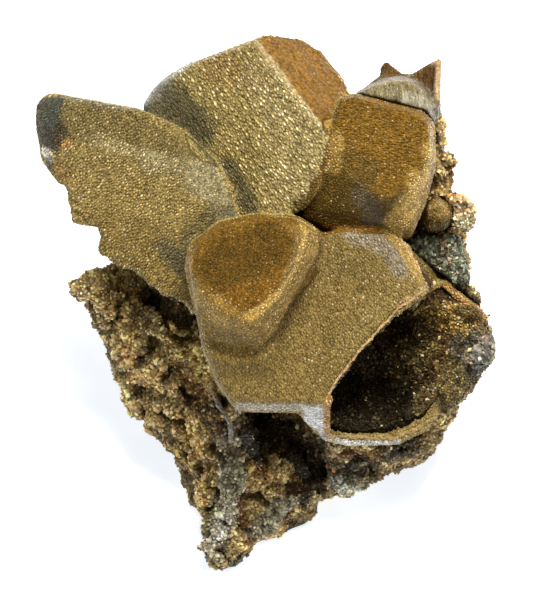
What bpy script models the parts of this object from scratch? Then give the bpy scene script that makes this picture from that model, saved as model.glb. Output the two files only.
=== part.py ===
# A siderite specimen: thin-walled siderite crystals, grown together, on a crumbly brown matrix.
# Lengths are in millimetres until place_on_table() turns them into metres, +Z up.
# The show side, with the crystals, faces forwards and up. Most points are given on it, as
# (across, up, toward): to the right, up the show side, and out of it towards who looks at it.

import math

import bmesh
import bpy
from mathutils import Matrix, Vector, noise

METRES = 0.001
SHOW_TILT = math.radians(60.0)  # elevation that the show side faces
SHOW_RISE = 31.0  # height of the show side's centre over the table
WALL = 1.2  # thickness of a hollow crystal's wall
GAP = 0.35  # clearance between a piece and the one that it grew on
BASE_DEPTH = 6.0  # how far the matrix blocks start under the cut that the specimen rests on
THROUGH = 30.0  # a cutter that goes right through reaches this far both ways
FLAT_ENOUGH = math.radians(1.5)  # neighbouring facets that turn less than this are one face
MERGE = 0.02  # points closer than this are one point

# Faces of the crystals. An outline is (across, up), and its height is
# (toward at the centre, rise per millimetre across, rise per millimetre up).
WING_FACE = [
    (-28.6, 28.6), (-18.0, 26.6), (-12.5, 24.2), (-8.6, 20.9), (-6.6, 18.2), (-4.2, 12.3),
    (-6.0, 4.0), (-10.0, -1.5), (-16.0, -2.0), (-27.0, 8.0), (-30.4, 17.0), (-30.2, 22.0),
]
WING_FACE_HEIGHT = (8.3, 0.30, -0.056)
WING_BACK = [
    (-32.4, 27.3), (-31.4, 28.6), (-30.2, 29.0), (-18.2, 26.8), (-12.0, 24.0), (-5.8, 18.0),
    (-3.9, 12.0), (-5.0, 2.0), (-12.0, -3.0), (-28.0, 6.0), (-31.4, 19.0), (-32.4, 24.0),
]
WING_BACK_HEIGHT = (0.5, 0.22, -0.02)
WING_KEEL_SHARE = 0.97  # the hidden outline behind the back, as a share of the back's own
WING_KEEL_SHIFT = (-0.4, 0.3)
WING_KEEL_DEPTH = 7.0
WING_BREAK = [
    (-33.0, 20.4), (-31.0, 18.9), (-29.2, 16.4), (-27.9, 16.0), (-27.3, 10.8), (-23.2, 10.2),
    (-23.6, 6.8), (-21.8, 5.6), (-18.5, 4.0), (-16.4, 2.2), (-14.3, 0.6), (-12.4, 0.2),
    (-10.6, -1.2),
]
WING_BEYOND = [(-10.6, -12.0), (-44.0, -12.0), (-44.0, 20.2)]  # around what is missing

DOME_FACE = [
    (-2.0, 36.0), (8.1, 23.8), (7.9, 19.0), (7.0, 15.2), (5.0, 12.7), (-0.7, 11.0),
    (-6.0, 12.6), (-16.6, 27.2), (-14.3, 30.3), (-9.4, 33.4),
]
DOME_FACE_HEIGHT = (4.9, 0.50, -0.083)
DOME_EDGE = [
    (4.8, 36.6, -3.5), (8.0, 34.5, -4.0), (10.4, 31.5, -2.5), (11.3, 29.4, -1.0),
    (11.6, 27.6, 0.0), (9.6, 24.0, 4.0), (-17.6, 27.3, -8.0), (-16.4, 29.4, -8.0),
    (-14.3, 31.4, -7.0), (-11.5, 33.0, -6.0), (0.0, 37.2, -1.5), (-4.5, 35.4, -2.0),
]
DOME_BACK = [
    (-14.0, 27.0), (-9.0, 32.0), (0.0, 35.0), (6.0, 33.0), (10.0, 28.0), (8.0, 16.0),
    (-2.0, 10.0), (-13.0, 17.0),
]
DOME_BACK_TOWARD = -21.0

BLOCK_TOP = [
    (10.2, 28.0), (12.3, 28.3), (21.0, 25.9), (22.4, 24.5), (22.7, 20.3), (20.7, 16.8),
    (18.6, 14.6), (16.5, 13.8), (11.9, 16.7), (9.2, 19.8), (8.7, 21.5),
]
BLOCK_TOP_HEIGHT = (7.4, 0.10, -0.03)
BLOCK_SHOULDER = [
    (10.4, 28.6), (12.4, 28.8), (21.8, 26.4), (23.4, 24.8), (23.6, 18.4), (22.2, 13.6),
    (20.2, 9.2), (16.5, 9.0), (10.9, 9.2), (5.0, 11.7), (8.0, 20.6),
]
BLOCK_SHOULDER_TOWARD = 3.0
BLOCK_FOOT = [
    (10.6, 27.8), (21.6, 25.4), (23.0, 17.0), (20.0, 8.0), (10.0, 7.0), (4.6, 11.0), (7.8, 21.0),
]
BLOCK_FOOT_TOWARD = -13.0

CAP_TOP = [
    (-10.6, 5.3), (-9.5, 7.8), (-6.8, 9.9), (-1.7, 11.1), (2.7, 10.7), (4.1, 9.0),
    (3.4, 5.3), (0.7, 0.2), (-1.7, -3.3), (-4.8, -2.3), (-8.2, 0.1), (-10.3, 2.9),
]
CAP_TOP_HEIGHT = (14.2, 0.02, 0.03)
CAP_SHOULDER = [
    (-11.4, 4.6), (-10.8, 7.7), (-6.6, 11.0), (-1.7, 12.0), (4.6, 11.6), (7.4, 9.6),
    (7.0, 6.2), (4.2, 1.4), (0.6, -5.0), (-1.2, -6.3), (-4.9, -6.2), (-8.9, -4.8), (-10.2, -0.6),
]
CAP_SHOULDER_TOWARD = 10.2
CAP_FOOT_TOWARD = 3.0

BROKEN_FACE = [
    (-9.8, 0.0), (-8.2, -7.4), (-6.6, -11.2), (-5.0, -13.6), (4.6, -13.9), (10.0, -14.5),
    (19.0, -8.0), (22.0, 0.8), (19.6, 4.5), (17.4, 7.4), (15.2, 9.0), (10.9, 9.4), (0.0, 8.0),
]
BROKEN_FACE_HEIGHT = (6.6, -0.05, -0.02)
BROKEN_SHOULDER = [
    (-10.4, 0.2), (-8.8, -7.7), (-7.0, -11.9), (-4.4, -15.4), (4.6, -15.7), (7.4, -15.4),
    (23.0, 1.6), (21.4, 4.6), (18.8, 8.6), (17.0, 9.7), (10.9, 10.0),
]
BROKEN_SHOULDER_HEIGHT = (4.6, -0.05, 0.0)
BROKEN_GIRDLE = [
    (6.2, -17.8), (8.1, -19.7), (11.6, -20.5), (18.6, -20.3), (22.8, -18.2), (24.6, -15.8),
    (28.3, -10.0), (31.1, -4.6), (31.0, -1.4), (27.4, 0.2), (23.8, 0.9),
]
BROKEN_GIRDLE_HEIGHT = (1.0, -0.25, 0.0)
BROKEN_BACK = [
    (-8.0, 0.0), (-5.5, -10.0), (5.0, -16.0), (11.0, -18.5), (19.0, -18.5), (24.0, -12.0),
    (29.0, -4.0), (27.5, 0.0), (16.0, 6.0), (0.0, 5.0),
]
BROKEN_BACK_TOWARD = -14.5
BREAK_LIP = [
    (23.6, 2.6), (22.4, 1.2), (20.8, -0.6), (19.6, -1.0), (15.6, -4.2), (13.2, -6.8),
    (10.9, -9.8), (9.0, -12.4), (8.0, -15.0), (8.1, -22.0),
]
BREAK_BEYOND = [(45.0, -30.0), (45.0, 2.6)]  # around the open end
BREAK_FAR_HEIGHT = (2.2, -0.29, 0.0)
# The notch under the front face, left of the open end: the two halves of the crystal meet in it.
NOTCH_EDGE = [(-9.0, -15.5), (4.4, -15.7), (5.6, -17.2), (8.3, -19.9)]
NOTCH_BELOW = -26.0

PALE_TOP = [
    (13.6, 29.3), (16.6, 30.5), (19.6, 30.6), (21.7, 29.2), (22.6, 26.9), (22.3, 25.0), (12.8, 28.0),
]
PALE_SHOULDER = [
    (11.9, 28.4), (13.7, 29.8), (16.5, 31.1), (18.9, 31.4), (21.4, 30.5), (23.1, 28.7),
    (23.6, 26.9), (23.4, 24.6),
]
PALE_TOP_TOWARD = 2.4
PALE_SHOULDER_TOWARD = -1.0
PALE_FOOT_TOWARD = -12.0
REAR_WALL = [
    (12.6, 29.2), (14.7, 30.6), (15.9, 31.6), (16.0, 32.8), (16.8, 33.5), (17.9, 32.6),
    (18.9, 31.8), (20.3, 31.7), (22.1, 32.8), (24.3, 33.9), (24.4, 26.0), (22.0, 22.0), (13.0, 22.0),
]
REAR_WALL_TOWARD = (-7.4, -6.2)
REAR_SIDE = [(-7.2, 33.7), (-3.5, 31.2), (0.4, 28.9), (0.8, 26.8), (-3.0, 25.4), (-7.2, 25.2)]
REAR_SIDE_ACROSS = [(21.55, 0.0, 0.06), (22.5, 0.0, 0.06)]  # its two faces, leaning left going down

KNOB = [
    (21.7, 11.2), (22.0, 13.4), (23.6, 14.5), (25.4, 13.6), (26.0, 11.6), (24.6, 9.9), (22.6, 9.8),
]
KNOB_TOP_TOWARD = 0.6
KNOB_SHOULDER_TOWARD = -1.6
KNOB_FOOT_TOWARD = -7.0
KNOB_TOP_SHARE = 0.6

GREEN_PATCH = [
    (19.6, 8.2), (21.0, 9.4), (24.0, 9.2), (27.0, 9.6), (28.2, 7.0), (28.8, 2.6), (26.0, 1.4), (22.4, 2.6),
]
GREEN_TOP_HEIGHT = (-3.2, -0.05, 0.1)
GREEN_FOOT_TOWARD = -9.5
GREEN_SINK = 0.5  # how far the crust starts inside its outline, before its lumps swell it
GREEN_ROOM = 0.4  # extra room for those lumps in the matrix
GREEN_VOXEL = 0.9
GREEN_KEEP = 0.6
GREEN_WEATHER = [(3.0, 0.3), (1.8, 0.3)]

# The open space inside the broken crystal's lining of small crystals.
HOLLOW_FRONT = [
    (-6.4, 1.0), (-4.6, -8.6), (-2.6, -10.8), (4.0, -10.8), (9.0, -12.0), (18.0, -3.4),
    (18.6, 1.4), (11.0, 6.0),
]
HOLLOW_FRONT_TOWARD = 2.6
HOLLOW_MOUTH = [
    (9.8, -16.0), (11.0, -17.4), (18.0, -17.4), (21.4, -15.8), (23.0, -14.0), (26.4, -8.6),
    (28.3, -4.6), (28.2, -2.6), (26.4, -1.6), (22.6, -1.2),
]
HOLLOW_MOUTH_HEIGHT = (2.6, -0.29, 0.0)
HOLLOW_FLOOR = [
    (1.0, -1.0), (2.0, -8.0), (7.5, -13.0), (15.0, -13.4), (18.4, -9.0), (17.6, -4.0), (9.0, 1.0),
]
HOLLOW_FLOOR_TOWARD = -11.6
HOLLOW_VOXEL = 1.2
HOLLOW_KEEP = 0.4
HOLLOW_WEATHER = [(6.0, 0.5), (2.6, 0.5)]
LINING_SINK = 0.5  # how far the lining stays below the broken rim

# The matrix, as blocks that are fused and then weathered. A foot point is (x, y) on the table.
LEFT_SLAB = [
    (-27.0, 0.8, -9.5), (-25.2, 3.6, -9.5), (-21.0, 5.4, -8.5), (-12.0, 4.0, -7.0),
    (-8.0, -6.0, -7.0), (-7.0, -14.0, -7.0), (-24.4, -3.4, -11.0), (-21.9, -8.0, -13.0),
    (-21.6, -12.6, -14.0), (-18.8, -16.4, -15.0), (-15.0, -20.8, -15.5), (-11.0, -17.0, -12.0),
]
LEFT_SLAB_FOOT = [(-13.0, 2.0), (-13.0, 20.0), (0.0, 20.0), (4.0, -6.0)]
FRONT_RIDGE = [
    (-5.4, -13.0, -6.5), (-2.8, -19.6, -8.0), (-3.0, -28.0, -10.5), (-3.0, -36.2, -11.8),
    (-6.0, -37.8, -12.2), (-9.2, -37.2, -12.6), (-8.0, -33.8, -13.0), (-6.4, -29.6, -14.5),
    (-8.2, -23.8, -15.0), (-13.2, -18.6, -15.5), (-9.0, -14.0, -9.0),
]
FRONT_RIDGE_FOOT = [(-8.4, -23.5), (-3.0, -24.0), (-1.6, -21.4), (-9.0, -12.5), (2.0, -8.0), (-11.0, -2.0)]
FRONT_SHELF = [
    (-2.0, -33.4, -13.5), (0.4, -32.6, -15.0), (5.0, -31.0, -16.0), (6.4, -27.2, -16.0),
    (6.0, -20.0, -15.5), (-2.0, -20.0, -14.5),
]
FRONT_SHELF_FOOT = [(0.8, -21.2), (5.8, -18.4), (-3.6, -21.0), (10.0, -8.0), (-3.0, -4.0)]
MIDDLE_BLOCK = [
    (-10.0, -2.0, -12.0), (-6.0, -16.0, -13.5), (6.0, -19.0, -15.0), (14.0, -14.0, -14.5),
    (16.0, 4.0, -13.0), (0.0, 8.0, -12.0),
]
MIDDLE_BLOCK_FOOT = [(-9.0, -12.0), (9.0, -14.0), (18.0, -2.0), (12.0, 22.0), (-9.0, 22.0)]
RIGHT_WALL = [
    (8.5, -21.4, -4.5), (18.5, -21.4, -7.0), (22.8, -20.6, -8.0), (24.2, -16.8, -8.0),
    (26.0, -14.0, -8.5), (30.6, -9.4, -8.0), (31.2, -6.4, -8.0), (30.6, -1.0, -8.5),
    (28.8, 2.4, -8.0), (20.0, 4.0, -6.0), (9.4, -24.2, -12.0), (12.4, -22.8, -12.0), (18.8, -21.0, -12.5),
]
RIGHT_WALL_FOOT = [(8.0, -14.0), (15.0, -10.5), (21.0, -7.0), (23.0, 4.0), (22.0, 16.0), (4.0, 10.0)]
BACK_BLOCK = [
    (-15.0, 10.0, -8.0), (-13.0, 20.0, -12.0), (-8.0, 26.0, -14.0), (4.0, 29.0, -15.0),
    (12.0, 30.0, -11.5), (23.2, 29.0, -11.0), (23.8, 23.0, -7.5), (25.2, 17.5, -6.5),
    (27.2, 12.0, -6.0), (28.0, 7.0, -7.0),
    (28.4, 3.0, -8.0), (0.0, 5.0, -9.0),
]
BACK_BLOCK_FOOT = [(-15.0, 8.0), (-13.0, 24.0), (-3.0, 31.0), (11.0, 31.0), (21.0, 24.0), (24.0, 8.0)]
MATRIX_BLOCKS = [
    (LEFT_SLAB, LEFT_SLAB_FOOT), (FRONT_RIDGE, FRONT_RIDGE_FOOT), (FRONT_SHELF, FRONT_SHELF_FOOT),
    (MIDDLE_BLOCK, MIDDLE_BLOCK_FOOT), (RIGHT_WALL, RIGHT_WALL_FOOT), (BACK_BLOCK, BACK_BLOCK_FOOT),
]
# Lumps and scoops of the matrix: (across, up, toward, half sizes along the same three).
LUMPS = [
    (30.0, -7.4, -6.6, 2.7, 3.2, 3.4),
    (29.0, -3.4, -8.4, 2.4, 3.0, 3.4),
    (24.7, 18.6, -6.0, 1.6, 2.2, 2.6),
    (23.8, 23.6, -6.0, 1.1, 1.2, 2.2),
    (26.8, 12.4, -4.6, 1.8, 2.5, 3.6),
    (10.0, -25.4, -14.0, 3.0, 1.8, 3.4),
    (4.4, -29.6, -14.5, 2.6, 2.6, 2.8),
    (1.4, -23.4, -12.8, 2.2, 2.4, 2.0),
    (-6.6, -36.6, -11.6, 3.0, 2.0, 2.4),
    (-25.2, 1.6, -8.6, 2.4, 2.6, 2.0),
    (-5.4, -24.6, -8.4, 1.7, 3.4, 2.2),
]
SCOOPS = [
    (-10.2, -12.0, -5.6, 4.0, 6.6, 4.8),
    (3.4, -19.0, -8.5, 5.8, 4.6, 6.6),
    (-11.5, 0.5, -5.5, 4.0, 5.0, 3.4),
    (0.8, -27.4, -11.0, 2.6, 2.8, 2.8),
    (-24.6, -8.2, -12.0, 2.6, 2.4, 6.0),
    (27.8, -15.4, -9.0, 2.8, 2.4, 7.0),
    (-17.0, -2.4, -7.0, 2.6, 1.3, 3.0),
    (-19.2, -9.6, -12.0, 2.2, 1.0, 3.2),
]
# A surface is made of squares of the voxel size, moved by its weather, and thinned to a share of
# its faces. The weather is (size of a lump, how far it moves the surface), large lumps first.
FRACTAL = (0.8, 2.0, 3)  # how fast the lumps' smaller waves fade, how much finer each is, how many
KNOB_MIDDLE = 0.5  # distance from a knob's centre, in knobs, where the surface stays where it was
MATRIX_VOXEL = 1.1
MATRIX_KEEP = 0.36
MATRIX_WEATHER = [(6.5, 1.1), (3.0, 0.85)]


def show_point(across, up, toward):
    """A point of the show side, in millimetres, standing on the table."""
    return Vector((
        across,
        up * math.sin(SHOW_TILT) - toward * math.cos(SHOW_TILT),
        SHOW_RISE + up * math.cos(SHOW_TILT) + toward * math.sin(SHOW_TILT),
    ))


def ring(outline, height):
    """The corners of one sloping outline. A plain number is a level one."""
    centre, across_slope, up_slope = height if isinstance(height, tuple) else (height, 0.0, 0.0)
    return [show_point(a, u, centre + across_slope * a + up_slope * u) for a, u in outline]


def hull(points, grow=0.0):
    """The convex solid of flat faces around the points, its faces moved outwards by grow."""
    shape = bmesh.new()
    for point in points:
        shape.verts.new(point)
    bmesh.ops.convex_hull(shape, input=shape.verts)
    bmesh.ops.delete(shape, geom=[v for v in shape.verts if not v.link_faces], context="VERTS")
    bmesh.ops.dissolve_limit(shape, angle_limit=FLAT_ENOUGH, verts=shape.verts, edges=shape.edges)
    bmesh.ops.recalc_face_normals(shape, faces=shape.faces)
    shape.normal_update()
    moves = [vertex.normal * grow * vertex.calc_shell_factor() for vertex in shape.verts]
    for vertex, move in zip(shape.verts, moves):
        vertex.co += move
    return shape


def new_object(name, shape):
    mesh = bpy.data.meshes.new(name)
    shape.to_mesh(mesh)
    shape.free()
    obj = bpy.data.objects.new(name, mesh)
    bpy.context.scene.collection.objects.link(obj)
    return obj


def hull_object(name, points, grow=0.0):
    return new_object(name, hull(points, grow))


def settle(obj):
    """Turns an object's modifiers into its own mesh."""
    graph = bpy.context.evaluated_depsgraph_get()
    obj.data = bpy.data.meshes.new_from_object(obj.evaluated_get(graph))
    obj.modifiers.clear()


def combine(base, tool, operation):
    """Joins tool to base, cuts it away, or keeps what both hold. The tool is used up."""
    modifier = base.modifiers.new(operation, "BOOLEAN")
    modifier.operation = operation
    modifier.solver = "EXACT"
    modifier.object = tool
    settle(base)
    bpy.data.objects.remove(tool)


def ellipsoid(name, across, up, toward, half_across, half_up, half_toward):
    shape = bmesh.new()
    bmesh.ops.create_icosphere(shape, subdivisions=2, radius=1.0)
    for vertex in shape.verts:
        vertex.co = show_point(
            across + vertex.co.x * half_across,
            up + vertex.co.y * half_up,
            toward + vertex.co.z * half_toward,
        )
    return new_object(name, shape)


def prism(name, outline, low, high, place):
    """A straight solid on an outline, between two levels; place() turns three numbers into a point."""
    shape = bmesh.new()
    bottom = [shape.verts.new(place(a, b, low(a, b))) for a, b in outline]
    top = [shape.verts.new(place(a, b, high(a, b))) for a, b in outline]
    shape.faces.new(bottom)
    shape.faces.new(list(reversed(top)))
    for i, corner in enumerate(bottom):
        j = (i + 1) % len(outline)
        shape.faces.new([bottom[j], corner, top[i], top[j]])
    bmesh.ops.recalc_face_normals(shape, faces=shape.faces)
    return new_object(name, shape)


def level(value):
    return lambda a, b: value


def slope(height):
    centre, across_slope, up_slope = height
    return lambda a, b: centre + across_slope * a + up_slope * b


def keep_largest(obj):
    """Drops the loose crumbs that a cut leaves, so that one closed body stays."""
    shape = bmesh.new()
    shape.from_mesh(obj.data)
    left = set(shape.verts)
    largest = set()
    while left:
        island = {left.pop()}
        front = list(island)
        while front:
            vertex = front.pop()
            for edge in vertex.link_edges:
                other = edge.other_vert(vertex)
                if other not in island:
                    island.add(other)
                    front.append(other)
        left -= island
        largest = max(largest, island, key=len)
    bmesh.ops.delete(shape, geom=[v for v in shape.verts if v not in largest], context="VERTS")
    shape.to_mesh(obj.data)
    shape.free()


def clean(obj):
    """Merges the points that a cut left almost on each other, and squares up the triangles."""
    shape = bmesh.new()
    shape.from_mesh(obj.data)
    bmesh.ops.remove_doubles(shape, verts=shape.verts, dist=MERGE)
    bmesh.ops.dissolve_degenerate(shape, edges=shape.edges, dist=MERGE)
    bmesh.ops.triangulate(shape, faces=shape.faces)
    shape.to_mesh(obj.data)
    shape.free()
    keep_largest(obj)


def fuse(obj, voxel):
    """Melts overlapping shapes into one skin of even squares."""
    modifier = obj.modifiers.new("fuse", "REMESH")
    modifier.mode = "VOXEL"
    modifier.voxel_size = voxel
    settle(obj)


def thin(obj, share):
    modifier = obj.modifiers.new("thin", "DECIMATE")
    modifier.ratio = share
    settle(obj)


def weather(obj, layers):
    """Moves the surface in and out: soft lumps first, then rounded knobs with creases between them."""
    (lump_size, lump_depth), (knob_size, knob_depth) = layers
    moves = []
    for vertex in obj.data.vertices:
        lump = noise.fractal(vertex.co / lump_size, *FRACTAL)
        knob = 1.0 - noise.voronoi(vertex.co / knob_size)[0][0] / KNOB_MIDDLE
        moves.append(vertex.normal * (lump * lump_depth + knob * knob_depth))
    for vertex, move in zip(obj.data.vertices, moves):
        vertex.co += move


def wing_points():
    return ring(WING_FACE, WING_FACE_HEIGHT) + ring(WING_BACK, WING_BACK_HEIGHT)


def wing_back_points():
    centre, across_slope, up_slope = WING_BACK_HEIGHT
    right, higher = WING_KEEL_SHIFT
    keel = [(a * WING_KEEL_SHARE + right, u * WING_KEEL_SHARE + higher) for a, u in WING_BACK]
    return ring(keel, (centre - WING_KEEL_DEPTH, across_slope, up_slope))


def dome_points():
    edge = [show_point(*point) for point in DOME_EDGE]
    return ring(DOME_FACE, DOME_FACE_HEIGHT) + edge + ring(DOME_BACK, DOME_BACK_TOWARD)


def block_points():
    return (
        ring(BLOCK_TOP, BLOCK_TOP_HEIGHT)
        + ring(BLOCK_SHOULDER, BLOCK_SHOULDER_TOWARD)
        + ring(BLOCK_FOOT, BLOCK_FOOT_TOWARD)
    )


def cap_points():
    return (
        ring(CAP_TOP, CAP_TOP_HEIGHT)
        + ring(CAP_SHOULDER, CAP_SHOULDER_TOWARD)
        + ring(CAP_SHOULDER, CAP_FOOT_TOWARD)
    )


def broken_points():
    return (
        ring(BROKEN_FACE, BROKEN_FACE_HEIGHT)
        + ring(BROKEN_SHOULDER, BROKEN_SHOULDER_HEIGHT)
        + ring(BROKEN_GIRDLE, BROKEN_GIRDLE_HEIGHT)
        + ring(BROKEN_BACK, BROKEN_BACK_TOWARD)
    )


def pale_points():
    return (
        ring(PALE_TOP, PALE_TOP_TOWARD)
        + ring(PALE_SHOULDER, PALE_SHOULDER_TOWARD)
        + ring(PALE_SHOULDER, PALE_FOOT_TOWARD)
    )


def knob_points():
    centre_across = sum(a for a, u in KNOB) / len(KNOB)
    centre_up = sum(u for a, u in KNOB) / len(KNOB)
    top = [
        (centre_across + (a - centre_across) * KNOB_TOP_SHARE, centre_up + (u - centre_up) * KNOB_TOP_SHARE)
        for a, u in KNOB
    ]
    return (
        ring(top, KNOB_TOP_TOWARD) + ring(KNOB, KNOB_SHOULDER_TOWARD) + ring(KNOB, KNOB_FOOT_TOWARD)
    )


def green_points():
    return ring(GREEN_PATCH, GREEN_TOP_HEIGHT) + ring(GREEN_PATCH, GREEN_FOOT_TOWARD)


def cluster_crystals():
    """The corner points of the crystals that are grown together."""
    return [
        wing_points() + wing_back_points(),
        dome_points(),
        block_points(),
        cap_points(),
        broken_points(),
    ]


def wing_breaker():
    """Cuts off what is missing along the wing's stepped, broken side, through front and back."""
    return prism("wing_breaker", WING_BREAK + WING_BEYOND, level(-THROUGH), level(THROUGH), show_point)


def crystal_breaker(sink=0.0):
    """Opens the broken crystal: everything beyond the lip of its front face, down to the far rim."""
    centre, across_slope, up_slope = BREAK_FAR_HEIGHT
    far = (centre - sink, across_slope, up_slope)
    return prism("crystal_breaker", BREAK_LIP + BREAK_BEYOND, slope(far), level(THROUGH), show_point)


def notch_tool(inset=0.0):
    """Cuts the notch, or the same notch with its inner sides moved up and right by inset."""
    first, *inner_side = NOTCH_EDGE
    outline = [(first[0], first[1] + inset)] + [(a + inset, u + inset) for a, u in inner_side]
    right = outline[-1][0]
    outline += [(right, NOTCH_BELOW), (first[0], NOTCH_BELOW)]
    return prism("notch_tool", outline, level(-THROUGH), level(THROUGH), show_point)


def build_crystals():
    """The wing, the dome, the block, the cap and the broken crystal, grown into one."""
    crystals = None
    for i, points in enumerate(cluster_crystals()):
        crystal = hull_object(f"crystal_{i}", points)
        if crystals is None:
            crystals = crystal
        else:
            combine(crystals, crystal, "UNION")
    crystals.name = "siderite_crystals"
    wing_hollow = hull_object("wing_hollow", wing_points() + wing_back_points(), -WALL)
    solid_end = hull_object("solid_end", cap_points() + dome_points(), WALL)
    combine(wing_hollow, solid_end, "DIFFERENCE")
    combine(crystals, wing_hollow, "DIFFERENCE")
    broken_hollow = hull_object("broken_hollow", broken_points(), -WALL)
    combine(broken_hollow, notch_tool(WALL), "DIFFERENCE")
    combine(crystals, broken_hollow, "DIFFERENCE")
    combine(crystals, notch_tool(), "DIFFERENCE")
    combine(crystals, wing_breaker(), "DIFFERENCE")
    combine(crystals, crystal_breaker(), "DIFFERENCE")
    clean(crystals)
    return crystals


def build_lining():
    """The crust of small crystals inside the broken one."""
    lining = hull_object("hollow_lining", broken_points(), -(WALL + GAP))
    combine(lining, notch_tool(WALL + GAP), "DIFFERENCE")
    hollow = hull_object(
        "hollow",
        ring(HOLLOW_FRONT, HOLLOW_FRONT_TOWARD)
        + ring(HOLLOW_MOUTH, HOLLOW_MOUTH_HEIGHT)
        + ring(HOLLOW_FLOOR, HOLLOW_FLOOR_TOWARD),
    )
    fuse(hollow, HOLLOW_VOXEL)
    weather(hollow, HOLLOW_WEATHER)
    thin(hollow, HOLLOW_KEEP)
    combine(lining, hollow, "DIFFERENCE")
    combine(lining, crystal_breaker(sink=LINING_SINK), "DIFFERENCE")
    clean(lining)
    return lining


def build_rear_crystal():
    """The pale crystal behind the block, with the spiked remains of a thin wall around it."""
    rear = hull_object("rear_crystal", pale_points())
    back, front = REAR_WALL_TOWARD
    wall = prism("rear_wall", REAR_WALL, level(back), level(front), show_point)
    left, right = REAR_SIDE_ACROSS
    side = prism(
        "rear_side", REAR_SIDE, slope(left), slope(right),
        lambda toward, up, across: show_point(across, up, toward),
    )
    combine(wall, side, "UNION")
    combine(rear, wall, "UNION")
    combine(rear, hull_object("block_room", block_points(), GAP), "DIFFERENCE")
    combine(rear, hull_object("dome_room", dome_points(), GAP), "DIFFERENCE")
    clean(rear)
    return rear


def build_knob():
    """The small rounded crystal at the right."""
    knob = hull_object("side_crystal", knob_points())
    combine(knob, hull_object("block_room", block_points(), GAP), "DIFFERENCE")
    clean(knob)
    return knob


def build_green_patch():
    """The dark green crust of grains between the block and the broken crystal."""
    patch = hull_object("green_druse", green_points(), -GREEN_SINK)
    fuse(patch, GREEN_VOXEL)
    weather(patch, GREEN_WEATHER)
    thin(patch, GREEN_KEEP)
    combine(patch, hull_object("block_room", block_points(), GAP), "DIFFERENCE")
    combine(patch, hull_object("broken_room", broken_points(), GAP), "DIFFERENCE")
    combine(patch, hull_object("knob_room", knob_points(), GAP), "DIFFERENCE")
    clean(patch)
    return patch


def build_matrix():
    """The crumbly rock, cut flat below and hollowed where the crystals sit in it."""
    matrix = None
    for top, foot in MATRIX_BLOCKS:
        feet = [Vector((x, y, -BASE_DEPTH)) for x, y in foot]
        block = hull_object("matrix_block", [show_point(*point) for point in top] + feet)
        if matrix is None:
            matrix = block
        else:
            combine(matrix, block, "UNION")
    matrix.name = "matrix"
    for lump in LUMPS:
        combine(matrix, ellipsoid("lump", *lump), "UNION")
    for scoop in SCOOPS:
        combine(matrix, ellipsoid("scoop", *scoop), "DIFFERENCE")
    fuse(matrix, MATRIX_VOXEL)
    weather(matrix, MATRIX_WEATHER)
    fuse(matrix, MATRIX_VOXEL)
    thin(matrix, MATRIX_KEEP)
    for points in cluster_crystals() + [pale_points(), knob_points()]:
        combine(matrix, hull_object("room", points, GAP), "DIFFERENCE")
    combine(matrix, hull_object("green_room", green_points(), GAP + GREEN_ROOM), "DIFFERENCE")
    back, front = REAR_WALL_TOWARD
    wall = prism("wall_room", REAR_WALL, level(back - GAP), level(front + GAP), show_point)
    combine(matrix, wall, "DIFFERENCE")
    side = 2.0 * THROUGH
    table = [(-side, -side), (side, -side), (side, side), (-side, side)]
    under = prism("under", table, level(-side), level(0.0), lambda x, y, z: Vector((x, y, z)))
    combine(matrix, under, "DIFFERENCE")
    clean(matrix)
    return matrix


def paint(obj, name, colour, roughness):
    material = bpy.data.materials.new(name)
    material.use_nodes = True
    surface = material.node_tree.nodes["Principled BSDF"]
    surface.inputs["Base Color"].default_value = (*colour, 1.0)
    surface.inputs["Roughness"].default_value = roughness
    obj.data.materials.clear()
    obj.data.materials.append(material)


def place_on_table(pieces):
    """Turns millimetres into metres, with the origin under the middle of the specimen."""
    corners = [vertex.co for piece in pieces for vertex in piece.data.vertices]
    middle = [(min(c[i] for c in corners) + max(c[i] for c in corners)) / 2 for i in (0, 1)]
    placing = Matrix.Scale(METRES, 4) @ Matrix.Translation((-middle[0], -middle[1], 0.0))
    for piece in pieces:
        piece.data.transform(placing)
    print(f"the show side's centre lies at x {-middle[0]:.3f} mm, y {-middle[1]:.3f} mm")


def build_specimen():
    for obj in list(bpy.data.objects):
        bpy.data.objects.remove(obj)
    crystals = build_crystals()
    lining = build_lining()
    rear = build_rear_crystal()
    knob = build_knob()
    patch = build_green_patch()
    matrix = build_matrix()
    paint(crystals, "bronze_siderite", (0.30, 0.21, 0.09), 0.45)
    paint(lining, "dark_druse", (0.10, 0.07, 0.03), 0.5)
    paint(rear, "pale_siderite", (0.42, 0.37, 0.27), 0.45)
    paint(knob, "brown_siderite", (0.28, 0.18, 0.08), 0.5)
    paint(patch, "green_grains", (0.08, 0.11, 0.09), 0.6)
    paint(matrix, "brown_matrix", (0.20, 0.15, 0.08), 0.75)
    place_on_table([crystals, lining, rear, knob, patch, matrix])


build_specimen()
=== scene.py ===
import math

import bmesh
import bpy
import numpy as np
from mathutils import Matrix, Vector, noise
from mathutils.bvhtree import BVHTree


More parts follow.
